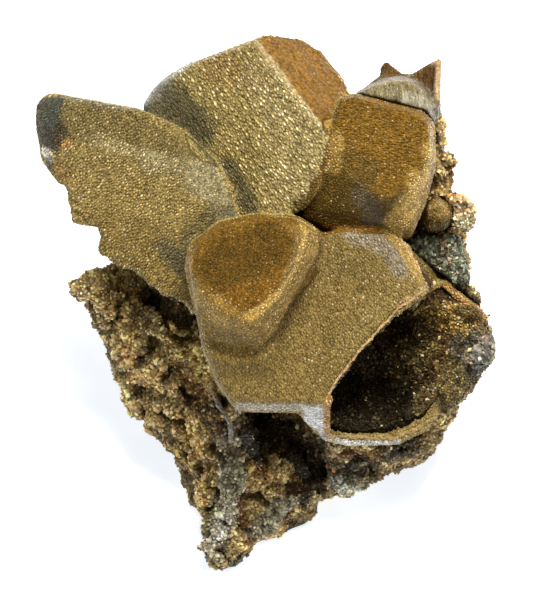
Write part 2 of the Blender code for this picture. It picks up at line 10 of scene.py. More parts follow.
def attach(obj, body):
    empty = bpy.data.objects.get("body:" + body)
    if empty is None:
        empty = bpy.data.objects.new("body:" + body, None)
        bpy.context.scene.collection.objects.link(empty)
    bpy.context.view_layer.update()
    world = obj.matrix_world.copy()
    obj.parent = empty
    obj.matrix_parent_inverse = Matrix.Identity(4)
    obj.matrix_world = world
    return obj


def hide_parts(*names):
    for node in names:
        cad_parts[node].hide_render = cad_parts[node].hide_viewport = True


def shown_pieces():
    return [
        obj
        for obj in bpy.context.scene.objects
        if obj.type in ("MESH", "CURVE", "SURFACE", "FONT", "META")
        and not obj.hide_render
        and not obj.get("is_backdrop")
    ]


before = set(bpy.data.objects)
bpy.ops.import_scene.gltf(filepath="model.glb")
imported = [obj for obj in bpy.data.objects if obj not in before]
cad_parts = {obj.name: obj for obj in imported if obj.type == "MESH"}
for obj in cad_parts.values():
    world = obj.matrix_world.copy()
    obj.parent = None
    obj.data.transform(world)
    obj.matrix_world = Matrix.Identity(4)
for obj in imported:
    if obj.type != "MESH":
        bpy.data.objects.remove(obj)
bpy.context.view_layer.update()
scene = bpy.context.scene
mm = 0.001

# The show side: where the photograph's middle meets the specimen, and how it leans.
showSide = {
    "middle": (0.342, -6.553, 31.0),  # millimetres
    "elevation": math.radians(60.0),
    "pixel": 0.14,  # millimetres on the specimen
    "photo": (534, 600),
    "cameraDistance": 2000.0,
}
showMiddle = Vector(showSide["middle"])
upShow = Vector((0.0, math.sin(showSide["elevation"]), math.cos(showSide["elevation"])))
outShow = Vector((0.0, -math.cos(showSide["elevation"]), math.sin(showSide["elevation"])))
outward = np.array(outShow)
eye = showMiddle + outShow * showSide["cameraDistance"]


# Where a pixel of the photograph lies on the plane through the middle, in millimetres.
def photoPoint(px, py):
    wide, high = showSide["photo"]
    across = (px - wide / 2) * showSide["pixel"]
    up = (high / 2 - py) * showSide["pixel"]
    return showMiddle + Vector((1.0, 0.0, 0.0)) * across + upShow * up


def aim(obj, target):
    obj.rotation_mode = "QUATERNION"
    obj.rotation_quaternion = (target - obj.location).to_track_quat("-Z", "Y")


def makeCamera():
    data = bpy.data.cameras.new("photoCamera")
    data.sensor_width = 36.0
    tall = showSide["photo"][1] * showSide["pixel"]
    data.lens = data.sensor_width * showSide["cameraDistance"] / tall
    data.clip_start = 0.1
    data.clip_end = 20.0
    camera = bpy.data.objects.new("photoCamera", data)
    camera.location = eye * mm
    aim(camera, showMiddle * mm)
    scene.collection.objects.link(camera)
    scene.camera = camera


studio = {
    "floorColour": (0.90, 0.91, 0.93),
    "floorLight": (0.86, 0.92, 1.0),
    "floorGlow": 0.78,
    "floorRoughness": 0.9,
    "sky": (0.93, 0.96, 1.0),
    "skyStrength": 0.16,
    # name: (place in metres, size in metres, watts, colour)
    "lamps": {
        "overhead": ((0.08, 0.14, 0.52), 0.26, 5.2, (1.0, 0.985, 0.95)),
        "leftFill": ((-0.46, -0.10, 0.34), 0.30, 0.5, (0.95, 0.97, 1.0)),
        "rightFill": ((0.44, -0.20, 0.34), 0.26, 0.5, (1.0, 0.98, 0.95)),
    },
}


def makeStudio():
    for name, (place, size, watts, colour) in studio["lamps"].items():
        data = bpy.data.lights.new(name, "AREA")
        data.shape = "SQUARE"
        data.size = size
        data.energy = watts
        data.color = colour
        lamp = bpy.data.objects.new(name, data)
        lamp.location = place
        aim(lamp, Vector((0.0, 0.0, 0.02)))
        lamp.visible_camera = False
        scene.collection.objects.link(lamp)
    world = bpy.data.worlds.new("softSky")
    world.use_nodes = True
    sky = world.node_tree.nodes["Background"]
    sky.inputs["Color"].default_value = (*studio["sky"], 1.0)
    sky.inputs["Strength"].default_value = studio["skyStrength"]
    scene.world = world
    scene.view_settings.view_transform = "Standard"
    scene.view_settings.look = "None"

    bpy.ops.mesh.primitive_plane_add(size=12.0, location=(0.0, 0.0, 0.0))
    floor = bpy.context.active_object
    floor.name = "paleFloor"
    material = bpy.data.materials.new("paleFloor")
    material.use_nodes = True
    surface = material.node_tree.nodes["Principled BSDF"]
    surface.inputs["Base Color"].default_value = (*studio["floorColour"], 1.0)
    surface.inputs["Roughness"].default_value = studio["floorRoughness"]
    surface.inputs["Emission Color"].default_value = (*studio["floorLight"], 1.0)
    surface.inputs["Emission Strength"].default_value = studio["floorGlow"]
    floor.data.materials.append(material)
    floor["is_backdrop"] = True


makeCamera()
makeStudio()
print("camera, light and floor are set")

# Gloss colours: the drusy faces throw back golden light, the rock almost none.
goldSheen = (1.0, 0.74, 0.36)
dustSheen = (0.8, 0.72, 0.6)

# Colours of the mineral, as linear light.
tones = {
    "tan": (0.30, 0.215, 0.070),
    "olive": (0.19, 0.14, 0.050),
    "darkOlive": (0.075, 0.068, 0.034),
    "greenGold": (0.31, 0.232, 0.078),
    "paleGold": (0.50, 0.40, 0.20),
    "gold": (0.55, 0.35, 0.085),
    "bronze": (0.235, 0.158, 0.046),
    "honey": (0.33, 0.21, 0.060),
    # shade is a dark brown: the side crystal's own colour, and painted shade on the block's left-front
    # facet.
    "shade": (0.12, 0.070, 0.012),
    "beige": (0.52, 0.34, 0.15),
    "wallBrown": (0.095, 0.044, 0.012),
    "greyRock": (0.20, 0.19, 0.15),
    "pearl": (0.62, 0.60, 0.54),
    "frost": (0.74, 0.74, 0.72),
    "ochre": (0.23, 0.105, 0.010),
    "amber": (0.185, 0.092, 0.008),
    "darkAmber": (0.10, 0.050, 0.005),
    "umber": (0.10, 0.055, 0.018),
    "soot": (0.035, 0.033, 0.026),
    "charcoal": (0.066, 0.076, 0.058),
    "greyGreen": (0.20, 0.20, 0.13),
    "sage": (0.37, 0.315, 0.165),
    "cream": (0.62, 0.56, 0.42),
    "orange": (0.50, 0.25, 0.075),
    "footBrown": (0.30, 0.13, 0.025),
    "rust": (0.26, 0.10, 0.03),
    "paleSilver": (0.48, 0.48, 0.40),
    "greySilk": (0.26, 0.25, 0.19),
    "rockGold": (0.75, 0.52, 0.17),
    "lilac": (0.31, 0.28, 0.23),
    "slate": (0.125, 0.115, 0.095),
    "silver": (0.165, 0.135, 0.085),
    "ash": (0.50, 0.45, 0.35),
    "rockTan": (0.54, 0.385, 0.150),
    "ochreRock": (0.50, 0.30, 0.085),
    "lichen": (0.46, 0.47, 0.36),
    "earth": (0.13, 0.095, 0.045),
    "darkEarth": (0.055, 0.042, 0.022),
    "black": (0.010, 0.008, 0.005),
    "moss": (0.10, 0.115, 0.07),
    "mint": (0.30, 0.33, 0.24),
}

# How every skin takes the light, if its own look says nothing else. Sizes are millimetres.
skinFace = {
    "grain": 0.35,  # size of its cells
    "streak": 1.0,  # how far they are drawn out along the grain
    "cloud": 1.6,  # size of its soft stains
    # The gap share is painted shade, darkening each cell towards its edge where the small crystals meet.
    "darkest": 0.5, "lightest": 1.3, "gap": 0.5,  # shades of the cells and of the gaps between them
    "smoothest": 0.3, "roughest": 0.7, "relief": 1.0, "ior": 1.6, "gloss": 0.25, "sheen": goldSheen,
}
# The same for the small crystals on a skin. Dust is the size of their own specks.
grainFace = {
    "smoothest": 0.2, "roughest": 0.6, "dust": 0.12, "relief": 0.3, "ior": 1.6, "gloss": 0.4,
    "sheen": goldSheen,
}
# Small rounded crystals: their form, how unlike each other they are, and how they glint. Foot and tip are
# painted shade at each crystal's foot and painted light at its tip; glints are glossier crystals painted
# lighter and creamier, a painted highlight.
bumps = {
    "shape": "bump", "stretch": 1.3, "rise": 0.9, "sink": 0.05, "tilt": 22, "twist": 60,  # degrees
    "uneven": 0.36, "foot": 0.5, "tip": 1.2, "glints": 0.05, "glintLight": 2.0,
}
# Small sharp crystals and crumbs.
rhombs = {
    "shape": "rhomb", "stretch": 1.1, "rise": 1.2, "sink": 0.0, "tilt": 40, "twist": 180,  # degrees
    "uneven": 0.4, "foot": 0.5, "tip": 1.3, "glints": 0.05, "glintLight": 1.5,
}
closeBy = 1.2  # mm within which another piece counts as lying against a skin


def meshPoints(mesh):
    flat = np.empty(len(mesh.vertices) * 3, dtype=np.float32)
    mesh.vertices.foreach_get("co", flat)
    return flat.reshape(-1, 3).astype(float) / mm


def meshNormals(mesh):
    flat = np.empty(len(mesh.vertices) * 3, dtype=np.float32)
    mesh.vertices.foreach_get("normal", flat)
    return flat.reshape(-1, 3).astype(float)


def movePoints(mesh, points):
    mesh.vertices.foreach_set("co", (points * mm).astype(np.float32).ravel())
    mesh.update()


# Turns an object's modifiers into its own mesh.
def settle(obj):
    graph = bpy.context.evaluated_depsgraph_get()
    mesh = bpy.data.meshes.new_from_object(obj.evaluated_get(graph))
    obj.modifiers.clear()
    obj.data = mesh


# One search tree around several meshes, in millimetres.
def treeOf(meshes):
    corners, faces = [], []
    for mesh in meshes:
        first = len(corners)
        corners += [v.co / mm for v in mesh.vertices]
        faces += [[first + i for i in p.vertices] for p in mesh.polygons]
    return BVHTree.FromPolygons(corners, faces)


def nodeMesh(node):
    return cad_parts[node].data


frameTree = treeOf([nodeMesh(node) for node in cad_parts])

# How a pixel finds the specimen, where it lies just beside it or where a rim stands close by.
farthestSearch = 20  # pixels
searchStep = 2  # pixels
rimStands = 1.5  # mm that a rim stands nearer to the eye than what lies behind it


# The point of a surface that the photograph shows at a pixel, and its normal.
# Where a rim stands in front of it close by, the rim is what is meant.
# Just beside the outline, it is the nearest pixel that shows the surface.
def touch(px, py, tree, search=2):
    best = None
    for away in range(0, farthestSearch, searchStep):
        if best is not None and away > search:
            break
        for right, down in ((away, 0), (-away, 0), (0, away), (0, -away)):
            target = photoPoint(px + right, py + down)
            place, normal, _, _ = tree.ray_cast(eye, (target - eye).normalized())
            if place is None:
                continue
            nearer = (place - showMiddle) @ outShow
            if best is None or nearer > best[0] + rimStands:
                best = (nearer, place, normal)
    if best is None:
        place, normal, _, _ = tree.find_nearest(photoPoint(px, py))
        return place, normal
    return best[1], best[2]


# The points of a surface that the photograph shows along a path of pixels.
def touched(path, tree):
    return [touch(px, py, tree)[0] for px, py in path]


# Distance of every point to a path of straight runs.
def distanceToPath(points, path):
    best = np.full(len(points), np.inf)
    if len(path) == 1:
        path = [path[0], path[0]]
    for a, b in zip(path, path[1:]):
        a, b = np.array(a), np.array(b)
        run = b - a
        length = float(run @ run)
        share = np.clip((points - a) @ run / length, 0.0, 1.0) if length > 1e-9 else np.zeros(len(points))
        best = np.minimum(best, np.linalg.norm(points - (a + share[:, None] * run), axis=1))
    return best


def smooth(low, high, value):
    share = np.clip((value - low) / (high - low), 0.0, 1.0)
    return share * share * (3.0 - 2.0 * share)


# Soft noise of one size for every point, about -1 to 1.
def wander(points, size):
    return np.array([noise.noise(Vector(p)) for p in points / size])


# Swellings of several sizes together: (size, how far they stand out).
def swellings(points, layers):
    return sum(wander(points, size) * depth for size, depth in layers)


# Distance of every point to the middle of its blob, for blobs of one size.
def blobs(points, size):
    return np.array([noise.voronoi(Vector(p))[0][0] for p in points / size])


# Turns a shape into one evenly meshed and softened skin.
def meltedSkin(name, shape, grid, passes):
    mesh = bpy.data.meshes.new(name)
    shape.to_mesh(mesh)
    shape.free()
    mesh.materials.clear()
    skin = bpy.data.objects.new(name, mesh)
    scene.collection.objects.link(skin)
    remesh = skin.modifiers.new("fine", "REMESH")
    remesh.mode = "VOXEL"
    remesh.voxel_size = grid * mm
    remesh.use_smooth_shade = True
    soften = skin.modifiers.new("soften", "SMOOTH")
    soften.factor = 0.5
    soften.iterations = passes
    settle(skin)
    return skin


# 1 where a skin's surface is free, 0 where another piece lies close against it.
def openToAir(skin, node, reach, start=0.02):
    others = treeOf([nodeMesh(other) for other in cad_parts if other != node])
    points, normals = meshPoints(skin.data), meshNormals(skin.data)
    free = np.ones(len(points))
    for i, (point, normal) in enumerate(zip(points, normals)):
        out = Vector(normal)
        if others.ray_cast(Vector(point) + out * start, out, reach)[0] is not None:
            free[i] = 0.0
    return free


# Spends fewer faces where a skin is buried.
def thinHidden(skin, free, keep=0.10):
    group = skin.vertex_groups.new(name="buried")
    group.add([int(i) for i in np.flatnonzero(free < 0.5)], 1.0, "REPLACE")
    share = float(free.mean())
    thin = skin.modifiers.new("thin", "DECIMATE")
    thin.vertex_group = "buried"
    thin.ratio = share + (1.0 - share) * keep
    settle(skin)
    skin.vertex_groups.clear()


# A fine skin over a CAD node, with where it is open to the air, the node's search tree, and the
# skin's points and normals.
def makeSkin(node, name, look, thin=True):
    shape = bmesh.new()
    shape.from_mesh(nodeMesh(node))
    bmesh.ops.remove_doubles(shape, verts=shape.verts, dist=0.01 * mm)
    skin = meltedSkin(name, shape, look["grid"], look["soften"])
    reach = look.get("clear", closeBy)
    free = openToAir(skin, node, reach)
    if thin:
        thinHidden(skin, free)
        free = openToAir(skin, node, reach)
    return skin, free, treeOf([nodeMesh(node)]), meshPoints(skin.data), meshNormals(skin.data)


# Stores one value for each point of a mesh under a name.
def putNumbers(mesh, name, kind, values):
    if name in mesh.attributes:
        mesh.attributes.remove(mesh.attributes[name])
    layer = mesh.attributes.new(name, kind, "POINT")
    key = {"FLOAT": "value", "FLOAT_VECTOR": "vector", "FLOAT_COLOR": "color"}[kind]
    layer.data.foreach_set(key, np.asarray(values, dtype=np.float32).ravel())


def getTones(mesh):
    values = np.empty(len(mesh.vertices) * 4, dtype=np.float32)
    mesh.attributes["tone"].data.foreach_get("color", values)
    return values.reshape(-1, 4).astype(float)


# Strokes are drawn over the photograph. Shares of their reach and limits of their facing.
stroke = {
    "core": 0.45,  # share of its reach at which a stroke starts to fade
    "wavy": 0.25,  # share of its reach by which its edge wanders
    "waves": 1.3,  # size of those waves, mm
    "turn": 0.15,  # how softly it ends where the surface turns away
    "facing": 0.1,  # least facing of a stroke that names none
    "fade": (-0.1, 0.25),  # facing the eye, between where it is lost and where it is whole
    "wholeFace": 20.0,  # a stroke that reaches this far, mm, colours all that faces its way
}


# How strongly a stroke marks each point.
def strokeWeight(skinPoints, skinNormals, edge, reach, path, facing, tree):
    hits = [touch(px, py, tree) for px, py in path]
    away = distanceToPath(skinPoints, [place for place, _ in hits])
    weight = 1.0 - smooth(stroke["core"] * reach, reach, away + edge * stroke["wavy"] * reach)
    apart = [np.linalg.norm(skinPoints - np.array(place), axis=1) for place, _ in hits]
    wanted = np.array([normal for _, normal in hits])[np.argmin(apart, axis=0)]
    turn = (skinNormals * wanted).sum(axis=1)
    return weight * smooth(facing - stroke["turn"], facing + stroke["turn"], turn)


# Lays strokes over a colour. A stroke is (tone, amount, reach in mm, pixels, least facing).
def paint(skinPoints, skinNormals, colour, strokes, tree):
    edge = wander(skinPoints, stroke["waves"])
    for tone, amount, reach, path, *facing in strokes:
        limit = facing[0] if facing else stroke["facing"]
        weight = strokeWeight(skinPoints, skinNormals, edge, reach, path, limit, tree) * amount
        if reach < stroke["wholeFace"]:
            weight = weight * smooth(*stroke["fade"], skinNormals @ outward)
        colour = colour * (1.0 - weight[:, None]) + np.array(tones[tone]) * weight[:, None]
    return colour


# Moves a skin by strokes: (shift, reach, pixels). A shift is millimetres right, up and towards
# the eye, or one number for along the skin's own normal.
def pushed(skinPoints, skinNormals, moves, tree):
    total = np.zeros_like(skinPoints)
    for shift, reach, path in moves:
        away = distanceToPath(skinPoints, touched(path, tree))
        weight = (1.0 - smooth(0.3 * reach, reach, away))[:, None]
        if isinstance(shift, float):
            total += weight * shift * skinNormals
        else:
            right, up, out = shift
            total += weight * np.array(Vector((right, 0.0, 0.0)) + upShow * up + outShow * out)
    return total


# Breaks a clean edge into small nicks.
def frayed(skinPoints, path, reach, far, size, tree):
    away = distanceToPath(skinPoints, touched(path, tree))
    weight = (1.0 - smooth(0.4 * reach, reach, away))[:, None] * far
    nicks = [wander(skinPoints + shift, size) for shift in (0.0, 37.0, 91.0)]
    return weight * np.column_stack(nicks)


# Which of several groups of drawn paths lies nearest to each point.
def nearestStroke(skinPoints, groups, tree):
    away = []
    for group in groups:
        away.append(np.min([distanceToPath(skinPoints, touched(path, tree)) for path in group], axis=0))
    return np.argmin(away, axis=0)


# The direction that the grains lie in, led by the drawn paths near each point.
def combed(skinPoints, paths, tree):
    total = np.zeros((len(skinPoints), 3))
    for path in paths:
        places = touched(path, tree)
        run = np.array((places[-1] - places[0]).normalized())
        total += run / (distanceToPath(skinPoints, places)[:, None] + 0.5) ** 4
    return total / np.linalg.norm(total, axis=1)[:, None]


# Each point's place in its crystal's own axes, the first one along the grain, in millimetres.
def lieOf(skinPoints, owner, grains):
    lie = np.array(skinPoints)
    for index, grain in enumerate(grains):
        along = (photoPoint(*grain[1]) - photoPoint(*grain[0])).normalized()
        across = outShow.cross(along).normalized()
        mine = owner == index
        lie[mine] = skinPoints[mine] @ np.array([along, across, outShow]).T
    return lie


# A direction along the surface, for crystals that lie any way.
def sideways(skinNormals):
    return np.cross(skinNormals, outward) + 0.01


# Sets a node's inputs, each to a value or to the output that feeds it.
def feed(tree, node, inputs):
    for label, value in inputs.items():
        if isinstance(value, bpy.types.NodeSocket):
            tree.links.new(value, node.inputs[label])
        else:
            node.inputs[label].default_value = value


# Adds a node to a tree, with its own settings and its inputs.
def addNode(tree, kind, inputs=None, **settings):
    node = tree.nodes.new(kind)
    for key, value in settings.items():
        setattr(node, key, value)
    feed(tree, node, inputs or {})
    return node


def times(tree, first, second):
    return addNode(tree, "ShaderNodeMath", {0: first, 1: second}, operation="MULTIPLY").outputs["Value"]


def scaled(tree, vector, scale):
    node = addNode(tree, "ShaderNodeVectorMath", {0: vector, "Scale": scale}, operation="SCALE")
    return node.outputs["Vector"]


def ranged(tree, value, low, high, start=0.0, end=1.0):
    limits = {"From Min": start, "From Max": end, "To Min": low, "To Max": high}
    return addNode(tree, "ShaderNodeMapRange", {"Value": value, **limits}).outputs["Result"]


def newMaterial(name):
    material = bpy.data.materials.new(name)
    material.use_nodes = True
    return material, material.node_tree, material.node_tree.nodes["Principled BSDF"]


# The settings that a finish sets on the surface as they are.
def glossOf(look):
    return {"IOR": look["ior"], "Specular IOR Level": look["gloss"], "Specular Tint": (*look["sheen"], 1.0)}


# A druse skin: the painted tone, broken up by fine cells that are drawn out along the grain.
def skinFinish(name, look):
    material, tree, surface = newMaterial(name)
    tone = addNode(tree, "ShaderNodeAttribute", attribute_name="tone").outputs["Color"]
    lie = addNode(tree, "ShaderNodeAttribute", attribute_name="lie").outputs["Vector"]
    drawnOut = {0: lie, 1: (1.0 / look["streak"], 1.0, 1.0)}
    place = addNode(tree, "ShaderNodeVectorMath", drawnOut, operation="MULTIPLY").outputs["Vector"]
    cells = addNode(tree, "ShaderNodeTexVoronoi", {"Vector": place, "Scale": 1.0 / look["grain"]}).outputs
    split = addNode(tree, "ShaderNodeSeparateColor", {"Color": cells["Color"]}).outputs
    clouds = {"Vector": place, "Scale": 1.0 / look["cloud"], "Detail": 4.0}
    cloud = addNode(tree, "ShaderNodeTexNoise", clouds).outputs["Fac"]
    specks = {"Vector": place, "Scale": 1.6 / look["grain"], "Detail": 3.0}
    dust = addNode(tree, "ShaderNodeTexNoise", specks).outputs["Fac"]

    cellShade = ranged(tree, split["Red"], look["darkest"], look["lightest"])
    # Painted shade in the gaps between the cells.
    gapShade = ranged(tree, cells["Distance"], 1.0, look["gap"], 0.2, 0.75)
    cloudShade = ranged(tree, cloud, 0.8, 1.2, 0.3, 0.7)
    shade = times(tree, times(tree, cellShade, gapShade), cloudShade)
    rounded = {0: times(tree, cells["Distance"], cells["Distance"]), 1: -1.6, 2: dust}
    height = addNode(tree, "ShaderNodeMath", rounded, operation="MULTIPLY_ADD").outputs["Value"]
    relief = {"Strength": look["relief"], "Distance": 0.4 * look["grain"] * mm, "Height": height}
    feed(tree, surface, {
        "Base Color": scaled(tree, tone, shade),
        "Roughness": ranged(tree, split["Green"], look["smoothest"], look["roughest"]),
        "Normal": addNode(tree, "ShaderNodeBump", relief).outputs["Normal"],
        **glossOf(look),
    })
    return material


# Small crystals: each has its own tone and gloss, stored on the mesh.
def grainFinish(name, look):
    material, tree, surface = newMaterial(name)
    tone = addNode(tree, "ShaderNodeAttribute", attribute_name="tone").outputs
    place = addNode(tree, "ShaderNodeTexCoord").outputs["Object"]
    specks = {"Vector": place, "Scale": 1.0 / (look["dust"] * mm)}
    dust = addNode(tree, "ShaderNodeTexNoise", specks).outputs["Fac"]
    relief = {"Strength": look["relief"], "Distance": 0.3 * look["dust"] * mm, "Height": dust}
    feed(tree, surface, {
        "Base Color": tone["Color"],
        "Roughness": ranged(tree, tone["Alpha"], look["smoothest"], look["roughest"]),
        "Normal": addNode(tree, "ShaderNodeBump", relief).outputs["Normal"],
        **glossOf(look),
    })
    return material


def seedObject(name, shape, rounded):
    mesh = bpy.data.meshes.new(name)
    shape.to_mesh(mesh)
    shape.free()
    mesh.polygons.foreach_set("use_smooth", [rounded] * len(mesh.polygons))
    seed = bpy.data.objects.new(name, mesh)
    scene.collection.objects.link(seed)
    return seed


# A tiny leaning rhomb, one unit across, with a smaller top.
def makeRhomb(name, lean, top, skew):
    shape = bmesh.new()
    bmesh.ops.create_cube(shape, size=1.0)
    for vertex in shape.verts:
        if vertex.co.z > 0.0:
            vertex.co.x *= top
            vertex.co.y *= top
        vertex.co.x += vertex.co.z * lean
        vertex.co.y += vertex.co.x * skew
    return seedObject(name, shape, False)


# A rounded bump, one unit across: an uneven ring, a blunt tip, and a foot that stays buried.
def makeBump(name, corners, tip, foot):
    shape = bmesh.new()
    angles = [math.tau * (i + 0.25 * (i % 2)) / corners for i in range(corners)]
    ring = [shape.verts.new((0.5 * math.cos(a), 0.5 * math.sin(a), 0.0)) for a in angles]
    top = shape.verts.new((0.06, 0.03, tip))
    below = shape.verts.new((0.0, 0.0, -foot))
    for here, after in zip(ring, ring[1:] + ring[:1]):
        shape.faces.new((here, after, top))
        shape.faces.new((after, here, below))
    return seedObject(name, shape, True)


druseInputs = {
    "Skin": "Geometry", "Crystal": "Object", "Spacing": "Float", "Smallest": "Float", "Largest": "Float",
    "Stretch": "Float", "Rise": "Float", "Sink": "Float", "Tilt": "Vector", "Seed": "Int",
    "Finish": "Material",
}
mostPoints = 4.0e7  # points a square metre, more than the spacing ever lets stand


# Small crystals set over a skin: denser where cover is high, lying along the grain.
def druseTree():
    tree = bpy.data.node_groups.new("druse", "GeometryNodeTree")
    for label, kind in druseInputs.items():
        tree.interface.new_socket(label, in_out="INPUT", socket_type=f"NodeSocket{kind}")
    tree.interface.new_socket("Druse", in_out="OUTPUT", socket_type="NodeSocketGeometry")
    given = addNode(tree, "NodeGroupInput").outputs

    def stored(name, kind):
        node = addNode(tree, "GeometryNodeInputNamedAttribute", {"Name": name}, data_type=kind)
        return node.outputs["Attribute"]

    spread = addNode(tree, "GeometryNodeDistributePointsOnFaces", distribute_method="POISSON")
    feed(tree, spread, {
        "Mesh": given["Skin"], "Distance Min": given["Spacing"], "Density Max": mostPoints,
        "Density Factor": stored("cover", "FLOAT"), "Seed": given["Seed"],
    })
    points, normal = spread.outputs["Points"], spread.outputs["Normal"]

    stand = addNode(tree, "FunctionNodeAxesToRotation", primary_axis="Z", secondary_axis="X")
    feed(tree, stand, {"Primary Axis": normal, "Secondary Axis": stored("along", "FLOAT_VECTOR")})
    leans = {0: scaled(tree, given["Tilt"], -1.0), 1: given["Tilt"], "Seed": given["Seed"]}
    lean = addNode(tree, "FunctionNodeRandomValue", leans, data_type="FLOAT_VECTOR").outputs[0]
    angles = addNode(tree, "FunctionNodeEulerToRotation", {"Euler": lean}).outputs["Rotation"]
    turns = {"Rotation": stand.outputs["Rotation"], "Rotate By": angles}
    turn = addNode(tree, "FunctionNodeRotateRotation", turns, rotation_space="LOCAL").outputs["Rotation"]

    sizes = {2: given["Smallest"], 3: given["Largest"], "Seed": given["Seed"]}
    size = addNode(tree, "FunctionNodeRandomValue", sizes, data_type="FLOAT").outputs[1]
    grown = times(tree, size, stored("grow", "FLOAT"))
    shape = {"X": given["Stretch"], "Y": 1.0, "Z": given["Rise"]}
    scale = scaled(tree, addNode(tree, "ShaderNodeCombineXYZ", shape).outputs["Vector"], grown)
    down = times(tree, times(tree, given["Sink"], grown), -1.0)
    seat = {"Geometry": points, "Offset": scaled(tree, normal, down)}
    crystal = addNode(tree, "GeometryNodeObjectInfo", {"Object": given["Crystal"]}).outputs["Geometry"]
    place = addNode(tree, "GeometryNodeInstanceOnPoints", {
        "Points": addNode(tree, "GeometryNodeSetPosition", seat).outputs["Geometry"],
        "Instance": crystal, "Rotation": turn, "Scale": scale,
    })
    real = addNode(tree, "GeometryNodeRealizeInstances", {"Geometry": place.outputs["Instances"]})
    dressed = {"Geometry": real.outputs["Geometry"], "Material": given["Finish"]}
    finish = addNode(tree, "GeometryNodeSetMaterial", dressed)
    addNode(tree, "NodeGroupOutput", {"Druse": finish.outputs["Geometry"]})
    return tree


druse = druseTree()
seeds = {
    "rhomb": makeRhomb("rhomb", 0.35, 0.72, 0.25),
    "bump": makeBump("bump", 5, 0.5, 0.35),
}


# Gives each small crystal its own tone and gloss, with painted shade at its foot and painted light at its
# tip. A few are glints: glossier, and painted lighter and creamier as a painted highlight.
def toneCrystals(mesh, seed, look):
    tone = getTones(mesh)
    corners = len(seed.data.vertices)
    count = len(mesh.vertices) // corners
    chance = np.random.default_rng(look["seed"])
    light = np.exp(chance.normal(0.0, look["uneven"], count))
    gloss = chance.random(count)
    level = tone[::corners, :3].max(axis=1)
    share = np.clip((level / np.median(level)) ** 3, 0.1, 5.0) * look["glints"]
    bright = chance.random(count) < share
    light[bright] *= look["glintLight"]
    gloss[bright] *= 0.25
    for extraTone, share in look.get("mix", {}).items():
        lit = np.clip((tone[:, :3].max(axis=1) - 0.02) / 0.06, 0.0, 1.0)
        blend = (0.75 * lit * np.repeat(chance.random(count) < share, corners))[:, None]
        tone[:, :3] = tone[:, :3] * (1.0 - blend) + np.array(tones[extraTone]) * blend
    # Painted shade at each crystal's foot, painted light at its tip.
    rise = smooth(-0.1, 0.5, np.array([corner.co.z for corner in seed.data.vertices]))
    tone[:, :3] *= np.tile(look["foot"] + (look["tip"] - look["foot"]) * rise, count)[:, None]
    tone[:, :3] *= np.repeat(light, corners)[:, None]
    # Painted highlight: the glinting crystals' tone is mixed towards cream.
    strength = np.clip(tone[:, :3].max(axis=1) / 0.2, 0.05, 1.0)
    glintPaint = (np.repeat(bright, corners) * strength)[:, None] * 0.35
    tone[:, :3] = tone[:, :3] * (1.0 - glintPaint) + glintPaint * np.array(tones["cream"])
    tone[:, 3] = np.repeat(gloss, corners)
    putNumbers(mesh, "tone", "FLOAT_COLOR", np.clip(tone, 0.0, 1.0))
    print(f"{mesh.name}: {count} small crystals")


def finishPiece(piece, node):
    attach(piece, "root")
    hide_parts(node)


# Sets small crystals over a skin and makes them one plain mesh.
def growDruse(name, skin, cover, finish, look, node):
    putNumbers(skin.data, "cover", "FLOAT", cover)
    carrier = bpy.data.objects.new(name, skin.data)
    scene.collection.objects.link(carrier)
    grower = carrier.modifiers.new("druse", "NODES")
    grower.node_group = druse
    seed = seeds[look["shape"]]
    tilt = math.radians(look["tilt"])
    given = {
        "Crystal": seed, "Spacing": look["spacing"] * mm, "Smallest": look["smallest"] * mm,
        "Largest": look["largest"] * mm, "Stretch": look["stretch"], "Rise": look["rise"],
        "Sink": look["sink"], "Tilt": (tilt, tilt, math.radians(look["twist"])), "Seed": look["seed"],
        "Finish": finish,
    }
    for item in druse.interface.items_tree:
        if item.in_out == "INPUT" and item.name in given:
            grower[item.identifier] = given[item.name]
    settle(carrier)
    toneCrystals(carrier.data, seed, look)
    for extra in ("cover", "along", "grow", "lie"):
        if extra in carrier.data.attributes:
            carrier.data.attributes.remove(carrier.data.attributes[extra])
    finishPiece(carrier, node)


# Gives a skin its colours, the lie and growth of its crystals, its last shape and its finish.
def dress(skin, node, finish, colour, lie, along, grow, moved):
    colour = np.hstack([np.clip(colour, 0.0, 1.0), np.ones((len(colour), 1))])
    putNumbers(skin.data, "tone", "FLOAT_COLOR", colour)
    putNumbers(skin.data, "lie", "FLOAT_VECTOR", lie)
    putNumbers(skin.data, "along", "FLOAT_VECTOR", along)
    putNumbers(skin.data, "grow", "FLOAT", grow)
    movePoints(skin.data, moved)
    skin.data.materials.append(finish)
    finishPiece(skin, node)
    print(f"{skin.name}: {len(skin.data.polygons)} faces")


# The base tone with its strokes over it.
def painted(points, normals, look, tree):
    base = np.tile(np.array(tones[look["base"]]), (len(points), 1))
    return paint(points, normals, base, look["strokes"], tree)


# 1 for what the show side sees, and the given share for what it hides.
def shownShare(normals, behind):
    return np.where(normals @ outward > -0.1, 1.0, behind)


